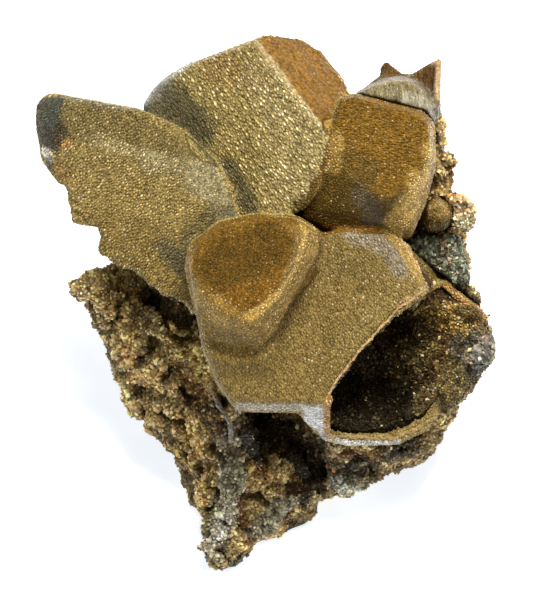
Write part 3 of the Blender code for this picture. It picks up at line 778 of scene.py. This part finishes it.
# The crystals that are grown together. Paths are pixels of the photograph that lie on them: marks say
# which crystal a surface belongs to, grain how its small crystals lie, and fine where they are smaller.
wing = {
    "base": "tan",
    "marks": [[(60, 100), (100, 112), (160, 150), (205, 175)], [(70, 165), (130, 165)],
              [(95, 205), (185, 205)], [(120, 250), (185, 238), (165, 270)], [(222, 182), (232, 208)]],
    "grain": [[(80, 235), (112, 185)], [(130, 270), (170, 205)], [(80, 180), (105, 135)],
              [(150, 150), (180, 125)], [(180, 215), (222, 190)]],
    "strokes": [
        ("olive", 0.65, 4.0, [(70, 120), (120, 128), (172, 160)]),
        ("bronze", 0.7, 5.0, [(110, 235), (140, 250), (180, 285)]),
        ("paleGold", 0.45, 1.3, [(98, 141), (130, 151), (162, 161)]),
        ("sage", 0.45, 2.2, [(150, 160), (178, 168), (212, 170)], 0.3),
        ("sage", 0.8, 3.6, [(206, 180), (222, 190), (232, 208)], 0.3),
        # Painted shadow: a dark blue-grey patch on the wing's lower right.
        ("charcoal", 0.6, 1.8, [(165, 248), (180, 266)]),
        # Painted shade where the wing meets the cap.
        ("darkOlive", 0.6, 2.0, [(238, 212), (212, 216), (190, 238), (184, 262)]),
        ("rust", 0.3, 1.2, [(52, 162), (64, 178)]),
        ("orange", 0.7, 1.1, [(59, 139), (67, 144)]),
        ("charcoal", 0.97, 14.0, [(50, 110)], 0.85),
        ("soot", 0.85, 2.0, [(46, 132), (52, 142), (58, 132)]),
        ("cream", 0.95, 0.9, [(43, 151), (50, 156)]),
        # Painted shade along the wing's thin top edge.
        ("greySilk", 0.6, 0.5, [(62, 94), (105, 101), (138, 108)]),
    ],
    "fine": [(0.6, 3.6, [(200, 178), (220, 190), (232, 208)], 0.3)],
    "druse": {
        **bumps, "spacing": 0.36, "smallest": 0.26, "largest": 0.42, "stretch": 2.1, "rise": 1.1,
        "tilt": 16, "twist": 10, "seed": 11, "uneven": 0.32, "foot": 0.42, "tip": 1.28, "glints": 0.07,
        "glintLight": 1.7,
    },
}
dome = {
    "base": "greenGold",
    "marks": [[(150, 82), (200, 58), (255, 42)], [(185, 112), (235, 100), (300, 130)],
              [(205, 150), (265, 160), (310, 150)], [(230, 195), (285, 185)], [(285, 60), (318, 100)]],
    "grain": [[(180, 80), (240, 160)], [(245, 60), (310, 145)], [(285, 50), (335, 105)],
              [(215, 140), (260, 205)]],
    "strokes": [
        ("rust", 0.22, 3.2, [(215, 65), (255, 80)]),
        ("ochre", 0.97, 9.0, [(290, 55), (310, 80), (330, 112)], 0.82),
        # Painted light on the face near the ridge.
        ("paleGold", 0.32, 6.0, [(270, 80), (290, 112), (304, 145), (296, 175)], 0.9),
        # Painted shade and shadow where the wing stands over the dome.
        ("darkOlive", 0.95, 4.6, [(146, 92), (165, 100), (185, 122), (205, 150)], 0.6),
        ("darkOlive", 0.85, 2.0, [(205, 150), (228, 168), (242, 192), (250, 212)]),
        # Painted highlight along the ridge.
        ("paleGold", 0.75, 0.7, [(256, 39), (275, 66), (300, 100), (325, 133)]),
        ("greySilk", 0.5, 5.0, [(152, 84)], 0.6),
        ("paleSilver", 0.6, 1.3, [(146, 98), (160, 82), (186, 67)], 0.6),
        # Painted shade where the dome goes down behind the cap.
        ("umber", 0.85, 1.6, [(272, 213), (300, 206), (318, 195)]),
    ],
    "fine": [(1.0, 7.0, [(290, 55), (310, 80), (330, 112)], 0.82),
             (0.9, 4.0, [(146, 92), (168, 106), (200, 148)], 0.0)],
    "rows": 0.80,
    "druse": {
        **bumps, "spacing": 0.38, "smallest": 0.28, "largest": 0.52, "stretch": 2.5, "rise": 1.0,
        "sink": 0.06, "tilt": 12, "twist": 9, "seed": 12, "uneven": 0.30, "foot": 0.46, "tip": 1.28,
        "glints": 0.16,
    },
}
block = {
    "base": "amber",
    "marks": [[(345, 118), (410, 122), (425, 160)], [(340, 160), (395, 170)],
              [(335, 200), (365, 180), (388, 215)], [(415, 185), (398, 225)], [(325, 226), (376, 226)]],
    "grain": [[(345, 120), (425, 125)], [(345, 190), (380, 160)], [(405, 225), (432, 170)]],
    "strokes": [
        # Painted shade over the block's left-front facet.
        ("shade", 0.95, 9.0, [(335, 195), (355, 205), (372, 212)], 0.75),
        # Painted light on the block's right flank.
        ("honey", 0.75, 60.0, [(434, 172)], 0.8),
        ("gold", 0.5, 1.5, [(331, 110), (335, 140), (333, 168)]),
        # Painted light along the block's right edge.
        ("gold", 0.75, 1.8, [(432, 150), (428, 172), (416, 192)]),
        ("gold", 0.85, 2.8, [(421, 182), (412, 200), (400, 222)]),
        ("slate", 0.45, 2.0, [(360, 196), (372, 210), (372, 220)], 0.5),
        ("soot", 0.5, 1.4, [(372, 202), (380, 212)], 0.5),
        ("footBrown", 0.5, 0.9, [(326, 226), (350, 230), (374, 228)]),
    ],
    "fine": [],
    "druse": {**bumps, "spacing": 0.36, "smallest": 0.18, "largest": 0.36, "seed": 13, "glints": 0.09},
}
cap = {
    "base": "amber",
    "marks": [[(208, 262), (250, 240), (300, 240), (300, 280)], [(255, 270), (268, 318)],
              [(205, 290), (225, 325), (255, 335)], [(312, 245), (285, 315)]],
    "grain": [[(215, 300), (250, 240)], [(250, 300), (290, 240)], [(205, 300), (240, 330)]],
    "strokes": [
        ("honey", 0.7, 60.0, [(316, 244)], 0.75),
        ("honey", 0.7, 60.0, [(200, 318)], 0.75),
        ("darkAmber", 0.7, 4.4, [(218, 268), (248, 258), (270, 242)], 0.6),
        ("ochre", 0.6, 2.4, [(240, 296), (258, 298), (276, 282)], 0.6),
        ("bronze", 0.8, 3.2, [(190, 285), (197, 305), (215, 328), (250, 340)]),
        ("gold", 0.4, 2.6, [(205, 300), (222, 316), (246, 326)]),
        ("honey", 0.75, 1.5, [(315, 238), (310, 252), (297, 278), (284, 304), (268, 330)]),
        # Painted highlights along the cap's right rim and its upper edge.
        ("gold", 0.85, 0.9, [(303, 226), (302, 247), (295, 270), (280, 292), (265, 306), (250, 317)]),
        ("paleGold", 0.6, 0.5, [(270, 216), (298, 219), (314, 228)]),
        ("gold", 0.6, 0.9, [(188, 262), (190, 285), (196, 306)]),
    ],
    "fine": [],
    "druse": {**bumps, "spacing": 0.36, "smallest": 0.18, "largest": 0.34, "seed": 14, "glints": 0.10},
}
broken = {
    "base": "bronze",
    "marks": [[(210, 350), (232, 395), (300, 395)], [(285, 345), (345, 300), (385, 262)],
              [(280, 375), (350, 350), (410, 290)], [(345, 245), (390, 240)],
              [(322, 425), (400, 440), (445, 415), (485, 375), (488, 325), (440, 297)]],
    "grain": [[(240, 345), (255, 405)], [(300, 310), (318, 385)], [(350, 270), (368, 330)],
              [(395, 240), (425, 290)], [(325, 438), (430, 425)]],
    "strokes": [
        ("bronze", 0.4, 3.0, [(330, 250), (322, 275), (305, 300)]),
        ("tan", 0.6, 2.4, [(345, 345), (378, 308), (408, 288)]),
        ("olive", 0.35, 3.0, [(340, 262), (370, 268)]),
        ("lilac", 0.55, 1.7, [(352, 234), (376, 241), (392, 254), (401, 270)], 0.3),
        ("ash", 0.95, 1.3, [(240, 407), (280, 408), (300, 407)]),
        ("paleGold", 0.45, 0.8, [(198, 335), (210, 375), (232, 408)]),
        ("gold", 0.5, 1.8, [(398, 240), (410, 258), (420, 276)]),
        ("beige", 0.7, 0.8, [(403, 240), (414, 258), (424, 276), (430, 288)]),
        # A dark moss strip: painted shade, with the green druse's colour, beside the right wall.
        ("moss", 0.9, 1.6, [(424, 250), (432, 262), (441, 274)], -1.0),
        ("orange", 0.7, 0.9, [(436, 284), (450, 289), (464, 299), (478, 308)]),
        # Painted light where the cap's shadow falls on the broken crystal.
        ("gold", 0.4, 1.8, [(212, 346), (238, 354), (264, 348)]),
        # Painted shadow along the cap's right side, where it meets the broken crystal.
        ("umber", 0.55, 0.8, [(323, 240), (306, 280), (296, 300), (278, 336)]),
        ("tan", 0.8, 1.4, [(330, 438), (395, 441), (438, 418)]),
        ("frost", 0.95, 1.8, [(312, 412), (306, 424), (318, 440)]),
        ("pearl", 0.9, 0.9, [(325, 446), (360, 448), (396, 449)]),
        ("orange", 0.6, 0.8, [(356, 371), (330, 402)]),
        ("orange", 0.9, 0.9, [(324, 400), (322, 412), (323, 432)], -1.0),
        ("beige", 0.6, 0.8, [(424, 290), (400, 308), (380, 336), (356, 371)]),
        ("orange", 0.75, 0.8, [(432, 296), (460, 299), (487, 309), (489, 333)]),
    ],
    "fine": [],
    "druse": {
        **bumps, "spacing": 0.38, "smallest": 0.26, "largest": 0.42, "stretch": 1.8, "rise": 0.8,
        "sink": 0.06, "tilt": 11, "twist": 12, "seed": 15, "uneven": 0.2, "glints": 0.04,
        "glintLight": 1.5,
    },
}
crystals = {"wing": wing, "dome": dome, "block": block, "cap": cap, "broken": broken}
crystalSkinLook = {
    "grid": 0.34, "soften": 8, "clear": 2.0,
    "layers": [(3.2, 0.10), (1.0, 0.05)],  # size of the swellings, how far they stand out
    "finish": {
        **skinFace, "grain": 0.28, "streak": 1.6, "cloud": 2.6, "darkest": 0.55, "lightest": 1.35,
        "gap": 0.6, "smoothest": 0.25, "roughest": 0.6,
    },
    "grains": {**grainFace, "smoothest": 0.16, "roughest": 0.5, "relief": 0.2, "ior": 1.65},
    "behind": 0.35,  # share of the small crystals on what the show side hides
    "moves": [
        ((0.0, 0.0, -2.4), 2.6, [(492, 336), (486, 358), (464, 390), (450, 405)]),
        ((-3.5, -2.5, 0.0), 4.4, [(447, 282), (438, 275)]),
        ((0.0, 0.0, 1.2), 4.0, [(206, 338), (228, 350), (256, 352)]),
        ((0.8, 0.0, 0.0), 2.2, [(323, 404), (323, 418), (324, 430)]),
        ((-0.9, 0.0, 0.0), 2.6, [(424, 256)]),
        ((0.0, -0.4, -0.6), 2.6, [(462, 294), (480, 306)]),
    ],
    "fineSize": 0.45,  # share that fine crystals are smaller
    "fineCover": 0.9,  # share of them that only the skin's own relief shows
    "fray": (1.3, 0.5, 0.9),  # reach, depth and size of the nicks, mm
    "frayed": [
        [(424, 297), (400, 311), (380, 336), (356, 371), (330, 402)],
        [(50, 158), (66, 178), (72, 206), (99, 224), (106, 250), (130, 268), (160, 290), (190, 300)],
    ],
}


def makeCrystals():
    look, node, slot = crystalSkinLook, "siderite_crystals", "bronze_siderite"
    skin, free, tree, points, normals = makeSkin(node, "crystalSkin", look)
    owner = nearestStroke(points, [crystal["marks"] for crystal in crystals.values()], tree)
    colour = np.array([tones[crystal["base"]] for crystal in crystals.values()])[owner]
    fine = np.zeros(len(points))
    for index, crystal in enumerate(crystals.values()):
        mine = owner == index
        colour[mine] = paint(points[mine], normals[mine], colour[mine], crystal["strokes"], tree)
        for amount, reach, path, facing in crystal["fine"]:
            fine = np.maximum(fine, amount * strokeWeight(points, normals, 0.0, reach, path, facing, tree))
    lie = lieOf(points, owner, [crystal["grain"][0] for crystal in crystals.values()])
    along = combed(points, [path for crystal in crystals.values() for path in crystal["grain"]], tree)
    moved = points + normals * (swellings(points, look["layers"]) * free)[:, None]
    moved += pushed(points, normals, look["moves"], tree)
    for path in look["frayed"]:
        moved += frayed(points, path, *look["fray"], tree)
    grow = 1.0 - look["fineSize"] * fine
    finish = skinFinish("drusySkin", look["finish"])
    dress(skin, node, finish, colour, lie, along, grow, moved)
    grains = grainFinish("smallCrystals", look["grains"])
    shown = shownShare(normals, look["behind"])
    for index, (name, crystal) in enumerate(crystals.items()):
        cover = (owner == index) * free * shown * (1.0 - look["fineCover"] * fine)
        if "rows" in crystal:
            wave = np.cos(math.tau * (lie[:, 1] + 0.25 * wander(points, 2.5)) / crystal["rows"])
            cover = cover * smooth(-0.5, 0.4, wave)
        growDruse(f"{name}Druse", skin, cover, grains, crystal["druse"], node)


matrixLook = {
    "base": "rockTan", "grid": 0.38, "soften": 3,
    "layers": [(5.0, 0.8), (1.6, 0.35)],  # size of the swellings, how far they stand out
    "blobs": [(2.4, 1.0), (1.2, 0.8)],  # size of the rounded blobs, how far they stand out
    "blobEdge": 0.55,  # distance from a blob's middle where it neither stands out nor sinks
    "pit": 2.2, "pitDepth": 1.4, "pitShift": 50.0, "pitFrom": (0.22, 0.42),
    "pitBare": 0.7,  # share of the crumbs that the pits lack
    "foot": (0.2, 1.6),  # mm above the cut, between where the relief starts and is whole
    "crumbFoot": (0.4, 1.0),  # the same for the crumbs
    "calm": 0.6,  # share by which the stains are fainter on the show side
    # Painted shade on the sides that the show side hides.
    "backShade": 0.24,  # share by which the other sides are darker
    # Painted shade in the hollows and painted light on the heights of the relief.
    "hollowShade": 0.45, "heightLight": 0.85,  # light in the hollows, and what the heights add
    # stains of several sizes: (tone, amount, size, where the noise is read)
    "patches": [
        ("earth", 0.75, 6.0, 11.0), ("ochreRock", 0.6, 4.0, 23.0), ("greyGreen", 0.5, 7.0, 67.0),
        ("umber", 0.5, 3.0, 83.0),
    ],
    "moves": [
        ((0.0, 0.0, 1.2), 3.6, [(478, 350), (470, 375)]),
        ((-0.8, -0.3, 0.0), 3.6, [(80, 288), (84, 280)]),
        ((0.8, -0.8, 0.0), 2.2, [(76, 272)]),
        ((0.0, 1.2, 0.0), 3.0, [(94, 274), (112, 270)]),
        ((-1.2, 1.3, 0.0), 4.0, [(392, 482), (372, 492), (352, 498)]),
        ((1.5, 0.0, 0.0), 3.6, [(183, 478), (188, 500), (196, 522)]),
        ((-0.9, 1.2, 0.0), 3.6, [(320, 512), (298, 526)]),
        (-1.0, 2.2, [(450, 178), (462, 194)]),
        (-1.8, 1.2, [(139, 361), (149, 355), (158, 351)]),
        (-1.6, 2.4, [(150, 300), (165, 306), (180, 318), (188, 330)]),
        (-1.4, 0.9, [(221, 397), (224, 402)]),
        ((0.0, 1.2, 0.0), 4.0, [(204, 560), (215, 566), (232, 562)]),
    ],
    "strokes": [
        ("ochreRock", 0.5, 3.0, [(112, 300), (125, 330), (150, 375)]),
        ("greyGreen", 0.3, 1.2, [(85, 300), (112, 350), (120, 395)]),
        # Painted shade: under the wing's edge, and in the dented crease and pit below.
        ("darkEarth", 0.85, 2.6, [(150, 300), (165, 306), (180, 318), (188, 330)]),
        ("black", 0.85, 1.3, [(139, 361), (149, 355), (158, 351)]),
        ("black", 0.9, 1.0, [(221, 397), (224, 402)]),
        # Painted light where the crystals shade the rock.
        ("rockGold", 0.75, 4.0, [(168, 345), (192, 350), (205, 375)]),
        ("rust", 0.5, 2.6, [(190, 388), (200, 400)]),
        ("umber", 0.8, 2.4, [(200, 405), (212, 420), (220, 432)]),
        ("ochreRock", 0.6, 2.6, [(185, 425), (200, 460), (212, 495)]),
        ("ash", 0.5, 1.2, [(234, 405), (237, 435), (240, 465), (244, 492)]),
        ("ash", 0.35, 2.2, [(222, 450), (228, 485)]),
        ("greyGreen", 0.75, 3.4, [(232, 470), (226, 505), (214, 540), (210, 560)]),
        ("ash", 0.45, 2.0, [(230, 505), (220, 530), (212, 552)]),
        ("pearl", 0.4, 1.5, [(224, 522), (215, 546)]),
        ("umber", 0.8, 1.5, [(244, 500), (247, 545)]),
        ("rust", 0.5, 0.9, [(243, 505), (248, 540)]),
        # Painted shade in the recess under the broken crystal.
        ("black", 0.9, 4.5, [(255, 425), (290, 440), (312, 470)]),
        ("rust", 0.45, 1.8, [(255, 462), (272, 478)]),
        ("lichen", 0.6, 2.6, [(262, 530), (280, 512), (305, 500)]),
        ("darkEarth", 0.65, 3.2, [(340, 480), (375, 478), (412, 462), (440, 440)]),
        ("lichen", 0.8, 2.3, [(340, 486), (372, 487)]),
        # Painted shade just under the broken crystal's rim.
        ("darkEarth", 0.95, 3.6, [(325, 455), (365, 462), (402, 452)]),
        ("rust", 0.55, 1.4, [(335, 455), (375, 458)]),
        ("lilac", 0.6, 0.8, [(212, 395), (228, 440)]),
        ("mint", 0.5, 1.6, [(462, 206), (464, 225)]),
        ("olive", 0.6, 2.6, [(450, 380), (478, 385)]),
        ("umber", 0.7, 2.2, [(450, 180), (458, 196)]),
        ("rust", 0.5, 1.4, [(455, 198), (460, 208)]),
        ("slate", 1.0, 4.4, [(468, 346), (486, 352), (484, 372)]),
    ],
    "finish": {
        **skinFace, "grain": 0.45, "cloud": 2.2, "lightest": 1.4, "smoothest": 0.4, "roughest": 0.8,
        "ior": 1.5, "sheen": dustSheen,
    },
    "grains": {
        **grainFace, "smoothest": 0.25, "roughest": 0.8, "dust": 0.15, "relief": 0.5, "ior": 1.55,
        "sheen": dustSheen,
    },
    "druse": {
        **rhombs, "spacing": 0.44, "smallest": 0.26, "largest": 0.62, "rise": 1.0, "tilt": 60,
        "seed": 21, "uneven": 0.36, "foot": 0.55,
        "mix": {"rust": 0.03, "darkEarth": 0.12, "paleGold": 0.04},
    },
    "behind": 0.45,
}


def makeMatrix():
    look, node, slot = matrixLook, "matrix", "brown_matrix"
    skin, free, tree, points, normals = makeSkin(node, "matrixSkin", look)
    facing, level = normals @ outward, points[:, 2]
    height = swellings(points, look["layers"])
    for size, depth in look["blobs"]:
        height += (look["blobEdge"] - blobs(points, size)) * depth
    pits = smooth(*look["pitFrom"], wander(points + look["pitShift"], look["pit"]))
    height -= pits * look["pitDepth"]
    colour = np.tile(np.array(tones[look["base"]]), (len(points), 1))
    calm = 1.0 - look["calm"] * smooth(0.0, 0.6, facing)
    for tone, amount, size, shift in look["patches"]:
        share = (amount * calm * smooth(0.0, 0.3, wander(points + shift, size)))[:, None]
        colour = colour * (1.0 - share) + np.array(tones[tone]) * share
    # Painted shade on the sides that the show side hides.
    colour *= (1.0 - look["backShade"] + look["backShade"] * smooth(-0.2, 0.4, facing))[:, None]
    colour = paint(points, normals, colour, look["strokes"], tree)
    # Painted shade in the hollows and painted light on the heights of the relief.
    colour = colour * (look["hollowShade"] + look["heightLight"] * smooth(-0.9, 0.5, height)[:, None])
    moved = points + normals * (height * free * smooth(*look["foot"], level))[:, None]
    moved += pushed(points, normals, look["moves"], tree)
    moved[:, 2] = np.where(level < look["foot"][0], level, np.maximum(moved[:, 2], 0.05))
    grow = 0.7 + 0.5 * smooth(-0.4, 0.6, wander(points, 1.5))
    finish = skinFinish("crumblyRock", look["finish"])
    dress(skin, node, finish, colour, points, sideways(normals), grow, moved)
    shown = shownShare(normals, look["behind"])
    cover = free * shown * smooth(*look["crumbFoot"], level) * (1.0 - look["pitBare"] * pits)
    grains = grainFinish("rockCrumbs", look["grains"])
    growDruse("matrixCrumbs", skin, cover, grains, look["druse"], node)


liningLook = {
    "base": "umber", "grid": 0.36, "soften": 3, "layers": [(2.4, 0.35), (1.1, 0.3)],
    # Painted shade in the hollows and painted light on the heights of the relief.
    "hollowShade": 0.4, "heightLight": 0.8,
    "strokes": [
        # Partly the lining's own dark colour, partly painted shade deep in the hollow.
        ("black", 0.98, 8.5, [(340, 415), (362, 398), (392, 408)]),
        ("black", 0.95, 3.6, [(335, 430), (370, 436), (410, 424)]),
        ("black", 0.6, 2.6, [(372, 345), (395, 325), (420, 305)]),
        ("darkOlive", 0.7, 2.6, [(360, 355), (385, 362)]),
        ("olive", 0.7, 3.5, [(415, 350), (450, 375), (430, 400)]),
        ("gold", 0.75, 2.8, [(432, 312), (455, 322), (470, 330)]),
        ("slate", 0.7, 2.4, [(462, 345), (485, 355)]),
    ],
    "finish": {**skinFace, "grain": 0.40, "cloud": 2.0},
    "grains": {**grainFace, "smoothest": 0.12, "dust": 0.15, "ior": 1.65},
    "druse": {
        **rhombs, "spacing": 0.38, "smallest": 0.22, "largest": 0.52, "stretch": 0.9, "tilt": 45,
        "seed": 31, "uneven": 0.45, "tip": 1.15, "glints": 0.02, "glintLight": 1.8,
        "mix": {"black": 0.2, "gold": 0.08, "darkOlive": 0.15},
    },
}


def makeLining():
    look, node, slot = liningLook, "hollow_lining", "dark_druse"
    skin, free, tree, points, normals = makeSkin(node, "liningSkin", look)
    height = swellings(points, look["layers"])
    # Painted shade in the lining's hollows and painted light on its heights.
    shade = look["hollowShade"] + look["heightLight"] * smooth(-0.4, 0.4, height)
    colour = painted(points, normals, look, tree) * shade[:, None]
    moved = points + normals * (height * free)[:, None]
    grow = 0.7 + 0.6 * smooth(-0.4, 0.6, wander(points, 1.5))
    finish = skinFinish("liningSkin", look["finish"])
    dress(skin, node, finish, colour, points, sideways(normals), grow, moved)
    grains = grainFinish("liningCrystals", look["grains"])
    growDruse("liningDruse", skin, free, grains, look["druse"], node)


smallPieces = {
    "rear_crystal": {
        "piece": "rearCrystal", "slot": "pale_siderite", "base": "silver", "grid": 0.24, "soften": 3,
        "layers": [(1.2, 0.08)],
        "strokes": [
            ("wallBrown", 0.95, 2.0, [(386, 66), (396, 74), (372, 84)]),
            ("wallBrown", 0.95, 2.4, [(412, 80), (428, 74), (435, 88)]),
            ("beige", 0.9, 0.9, [(441, 60), (440, 95), (438, 118)]),
            ("sage", 0.45, 2.2, [(375, 92), (400, 86), (425, 100)]),
            ("paleSilver", 0.35, 1.6, [(408, 100), (424, 106), (432, 112)]),
        ],
        "grain": [[(400, 112), (397, 80)], [(440, 60), (438, 120)]],
        "finish": {
            **skinFace, "grain": 0.25, "streak": 4.0, "darkest": 0.6, "gap": 0.7, "smoothest": 0.25,
            "roughest": 0.5, "relief": 0.6,
        },
        "grains": {**grainFace, "roughest": 0.5},
        "druse": {
            **bumps, "spacing": 0.42, "smallest": 0.20, "largest": 0.32, "stretch": 3.0, "rise": 0.5,
            "sink": 0.1, "tilt": 6, "twist": 8, "seed": 41, "uneven": 0.15, "foot": 0.6, "tip": 1.15,
            "glints": 0.06, "glintLight": 1.3,
        },
    },
    "side_crystal": {
        "piece": "sideCrystal", "slot": "brown_siderite", "base": "shade", "grid": 0.24, "soften": 4,
        "layers": [(1.3, 0.5)],
        "strokes": [
            ("honey", 0.8, 2.2, [(430, 205), (440, 204)]),
            ("orange", 0.4, 0.8, [(445, 206), (448, 212)]),
            ("umber", 0.6, 0.9, [(425, 226), (440, 230)]),
        ],
        "grain": [[(425, 215), (445, 205)]],
        "finish": {
            **skinFace, "grain": 0.30, "darkest": 0.6, "gap": 0.6, "roughest": 0.6, "relief": 0.8,
        },
        "grains": {**grainFace},
        "druse": {
            **bumps, "spacing": 0.32, "smallest": 0.22, "largest": 0.40, "stretch": 1.2, "rise": 1.0,
            "tilt": 15, "twist": 90, "seed": 42, "uneven": 0.25, "tip": 1.25, "glintLight": 1.4,
        },
    },
    "green_druse": {
        "piece": "greenDruse", "slot": "green_grains", "base": "moss", "grid": 0.25, "soften": 2,
        "layers": [(1.0, 0.25)],
        "strokes": [
            ("mint", 0.35, 1.6, [(452, 250), (460, 275)]),
            ("rust", 0.4, 1.0, [(440, 240), (448, 262)]),
        ],
        "grain": [[(420, 245), (450, 270)]],
        "finish": {**skinFace, "grain": 0.40, "darkest": 0.4, "lightest": 1.5},
        "grains": {**grainFace},
        "druse": {
            **rhombs, "spacing": 0.30, "smallest": 0.30, "largest": 0.60, "rise": 0.9, "tilt": 70,
            "seed": 43, "uneven": 0.5, "foot": 0.6, "tip": 1.2,
            "mix": {"mint": 0.16, "black": 0.30, "slate": 0.15},
        },
    },
}


def makeSmallPiece(node, look):
    name, slot = look["piece"], look["slot"]
    skin, free, tree, points, normals = makeSkin(node, f"{name}Skin", look, thin=False)
    colour = painted(points, normals, look, tree)
    lie = lieOf(points, np.zeros(len(points), dtype=int), look["grain"][:1])
    along = combed(points, look["grain"], tree)
    moved = points + normals * swellings(points, look["layers"])[:, None]
    finish = skinFinish(f"{name}Skin", look["finish"])
    dress(skin, node, finish, colour, lie, along, np.ones(len(points)), moved)
    grains = grainFinish(f"{name}Grains", look["grains"])
    growDruse(f"{name}Grains", skin, free, grains, look["druse"], node)


# Rounded lumps strung along paths: (radius, how deep they sit, pixels). They melt into one skin.
lumpPieces = {
    "lipEdge": {
        "node": "siderite_crystals", "slot": "bronze_siderite", "base": "beige", "grid": 0.15, "loose": 0.4,
        "layers": [(0.5, 0.06)], "seed": 51, "search": 8,
        "chains": [
            (0.18, -0.1, [(420, 293), (411, 300), (398, 309), (389, 319), (378, 333), (366, 350),
                           (354, 368), (341, 383), (331, 398)]),
            (0.26, 0.0, [(327, 436), (350, 437), (372, 438), (392, 439), (414, 430), (436, 417)]),
        ],
        "strokes": [
            ("tan", 0.7, 1.0, [(340, 438), (392, 439), (436, 417)]),
            ("orange", 0.6, 1.4, [(341, 383), (331, 398)]),
        ],
        "finish": {**skinFace, "grain": 0.22, "cloud": 1.5, "darkest": 0.6, "gap": 0.7, "relief": 0.8},
    },
    "rimCrust": {
        "node": "hollow_lining", "slot": "dark_druse", "base": "olive", "grid": 0.30, "loose": 0.3,
        "layers": [(1.1, 0.35)], "seed": 52,
        "chains": [
            (1.1, 0.5, [(445, 306), (462, 308), (478, 316)]),
            (1.5, 0.8, [(471, 322), (478, 340), (480, 356), (471, 374), (458, 388), (445, 399)]),
            (1.5, 1.2, [(468, 340), (470, 358), (456, 376), (442, 388)]),
        ],
        "strokes": [
            ("gold", 0.5, 2.4, [(450, 308), (470, 320)]),
            ("umber", 0.6, 1.8, [(462, 312), (480, 320)]),
            ("greyRock", 0.75, 2.8, [(464, 344), (484, 350), (478, 366)]),
            ("bronze", 0.5, 2.4, [(466, 384), (446, 398)]),
        ],
        "finish": {
            **skinFace, "cloud": 1.8, "darkest": 0.4, "lightest": 1.4, "gap": 0.45, "smoothest": 0.35,
            "roughest": 0.8, "ior": 1.55, "sheen": dustSheen,
        },
        "grains": {**grainFace, "roughest": 0.7},
        "druse": {
            **rhombs, "shape": "bump", "spacing": 0.34, "smallest": 0.26, "largest": 0.58, "seed": 53,
            "foot": 0.4, "glints": 0.04, "glintLight": 1.6, "mix": {"black": 0.2, "soot": 0.12},
        },
    },
    "recessLumps": {
        "node": "matrix", "slot": "brown_matrix", "base": "darkEarth", "grid": 0.30, "loose": 0.3,
        "layers": [(1.1, 0.3)], "seed": 54,
        "chains": [
            (0.7, 0.2, [(252, 458), (260, 466), (266, 478)]),
            (1.3, 0.6, [(284, 456), (300, 462)]),
            (1.2, 0.4, [(300, 472), (310, 478)]),
            (1.3, 0.4, [(296, 492), (312, 496)]),
            (1.2, 0.5, [(246, 436), (248, 450)]),
        ],
        "strokes": [
            ("rust", 0.7, 1.4, [(256, 462), (266, 478)]),
            ("lichen", 0.4, 1.8, [(298, 470), (310, 474)]),
            ("rust", 0.6, 2.0, [(296, 492), (314, 498)]),
            ("slate", 0.5, 1.6, [(244, 434), (248, 450)]),
        ],
        "finish": {
            **skinFace, "cloud": 1.8, "darkest": 0.4, "lightest": 1.4, "gap": 0.45, "smoothest": 0.4,
            "roughest": 0.8, "ior": 1.5, "sheen": dustSheen,
        },
        "grains": {**grainFace, "smoothest": 0.3, "roughest": 0.8, "ior": 1.5, "sheen": dustSheen},
        "druse": {
            **rhombs, "shape": "bump", "spacing": 0.42, "smallest": 0.30, "largest": 0.60, "seed": 55,
            "foot": 0.45, "glints": 0.03, "mix": {"black": 0.15, "ash": 0.05},
        },
    },
    "shellSliver": {
        "node": "matrix", "slot": "brown_matrix", "base": "ash", "grid": 0.18, "loose": 0.15,
        "layers": [(0.8, 0.08)], "seed": 56,
        "chains": [(0.42, -0.1, [(214, 384), (214, 394), (219, 406), (227, 415), (231, 428), (231, 442)])],
        "strokes": [("ochreRock", 0.6, 1.6, [(214, 384), (214, 396)])],
        "finish": {
            **skinFace, "grain": 0.25, "cloud": 1.5, "gap": 0.6, "relief": 0.8, "ior": 1.5,
            "sheen": dustSheen,
        },
    },
}
sameEdge = 2.5  # mm; where a chain drops deeper than this between two spots, it has left its edge


def makeLumps(name, look, tree):
    node, slot = look["node"], look["slot"]
    chance = np.random.default_rng(look["seed"])
    shape = bmesh.new()
    for radius, sink, path in look["chains"]:
        spots = [touch(px, py, tree, look.get("search", 2))[0] - outShow * sink for px, py in path]
        for here, after in zip(spots, spots[1:]):
            if abs((after - here) @ outShow) > sameEdge:
                continue
            steps = max(1, round((after - here).length / (0.6 * radius)))
            for step in range(steps):
                loose = Vector(chance.normal(0.0, look["loose"] * radius, 3))
                place = Matrix.Translation((here.lerp(after, step / steps) + loose) * mm)
                size = radius * chance.uniform(0.75, 1.15)
                bmesh.ops.create_icosphere(shape, subdivisions=2, radius=size * mm, matrix=place)
    skin = meltedSkin(f"{name}Skin", shape, look["grid"], 2)
    free = openToAir(skin, None, closeBy)
    points, normals = meshPoints(skin.data), meshNormals(skin.data)
    colour = painted(points, normals, look, tree)
    moved = points + normals * swellings(points, look["layers"])[:, None]
    finish = skinFinish(f"{name}Skin", look["finish"])
    dress(skin, node, finish, colour, points, sideways(normals), np.ones(len(points)), moved)
    if "druse" in look:
        grains = grainFinish(f"{name}Grains", look["grains"])
        growDruse(f"{name}Grains", skin, free, grains, look["druse"], node)


makeCrystals()
makeMatrix()
makeLining()
for node, look in smallPieces.items():
    makeSmallPiece(node, look)
for name, look in lumpPieces.items():
    makeLumps(name, look, frameTree)

for seed in seeds.values():
    bpy.data.objects.remove(seed)
bpy.data.node_groups.remove(druse)
total = 0
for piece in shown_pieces():
    if piece.type == "MESH":
        triangles = sum(len(face.vertices) - 2 for face in piece.data.polygons)
        total += triangles
        print(f"{piece.name}: {triangles} triangles")
print(f"{total} triangles in all")
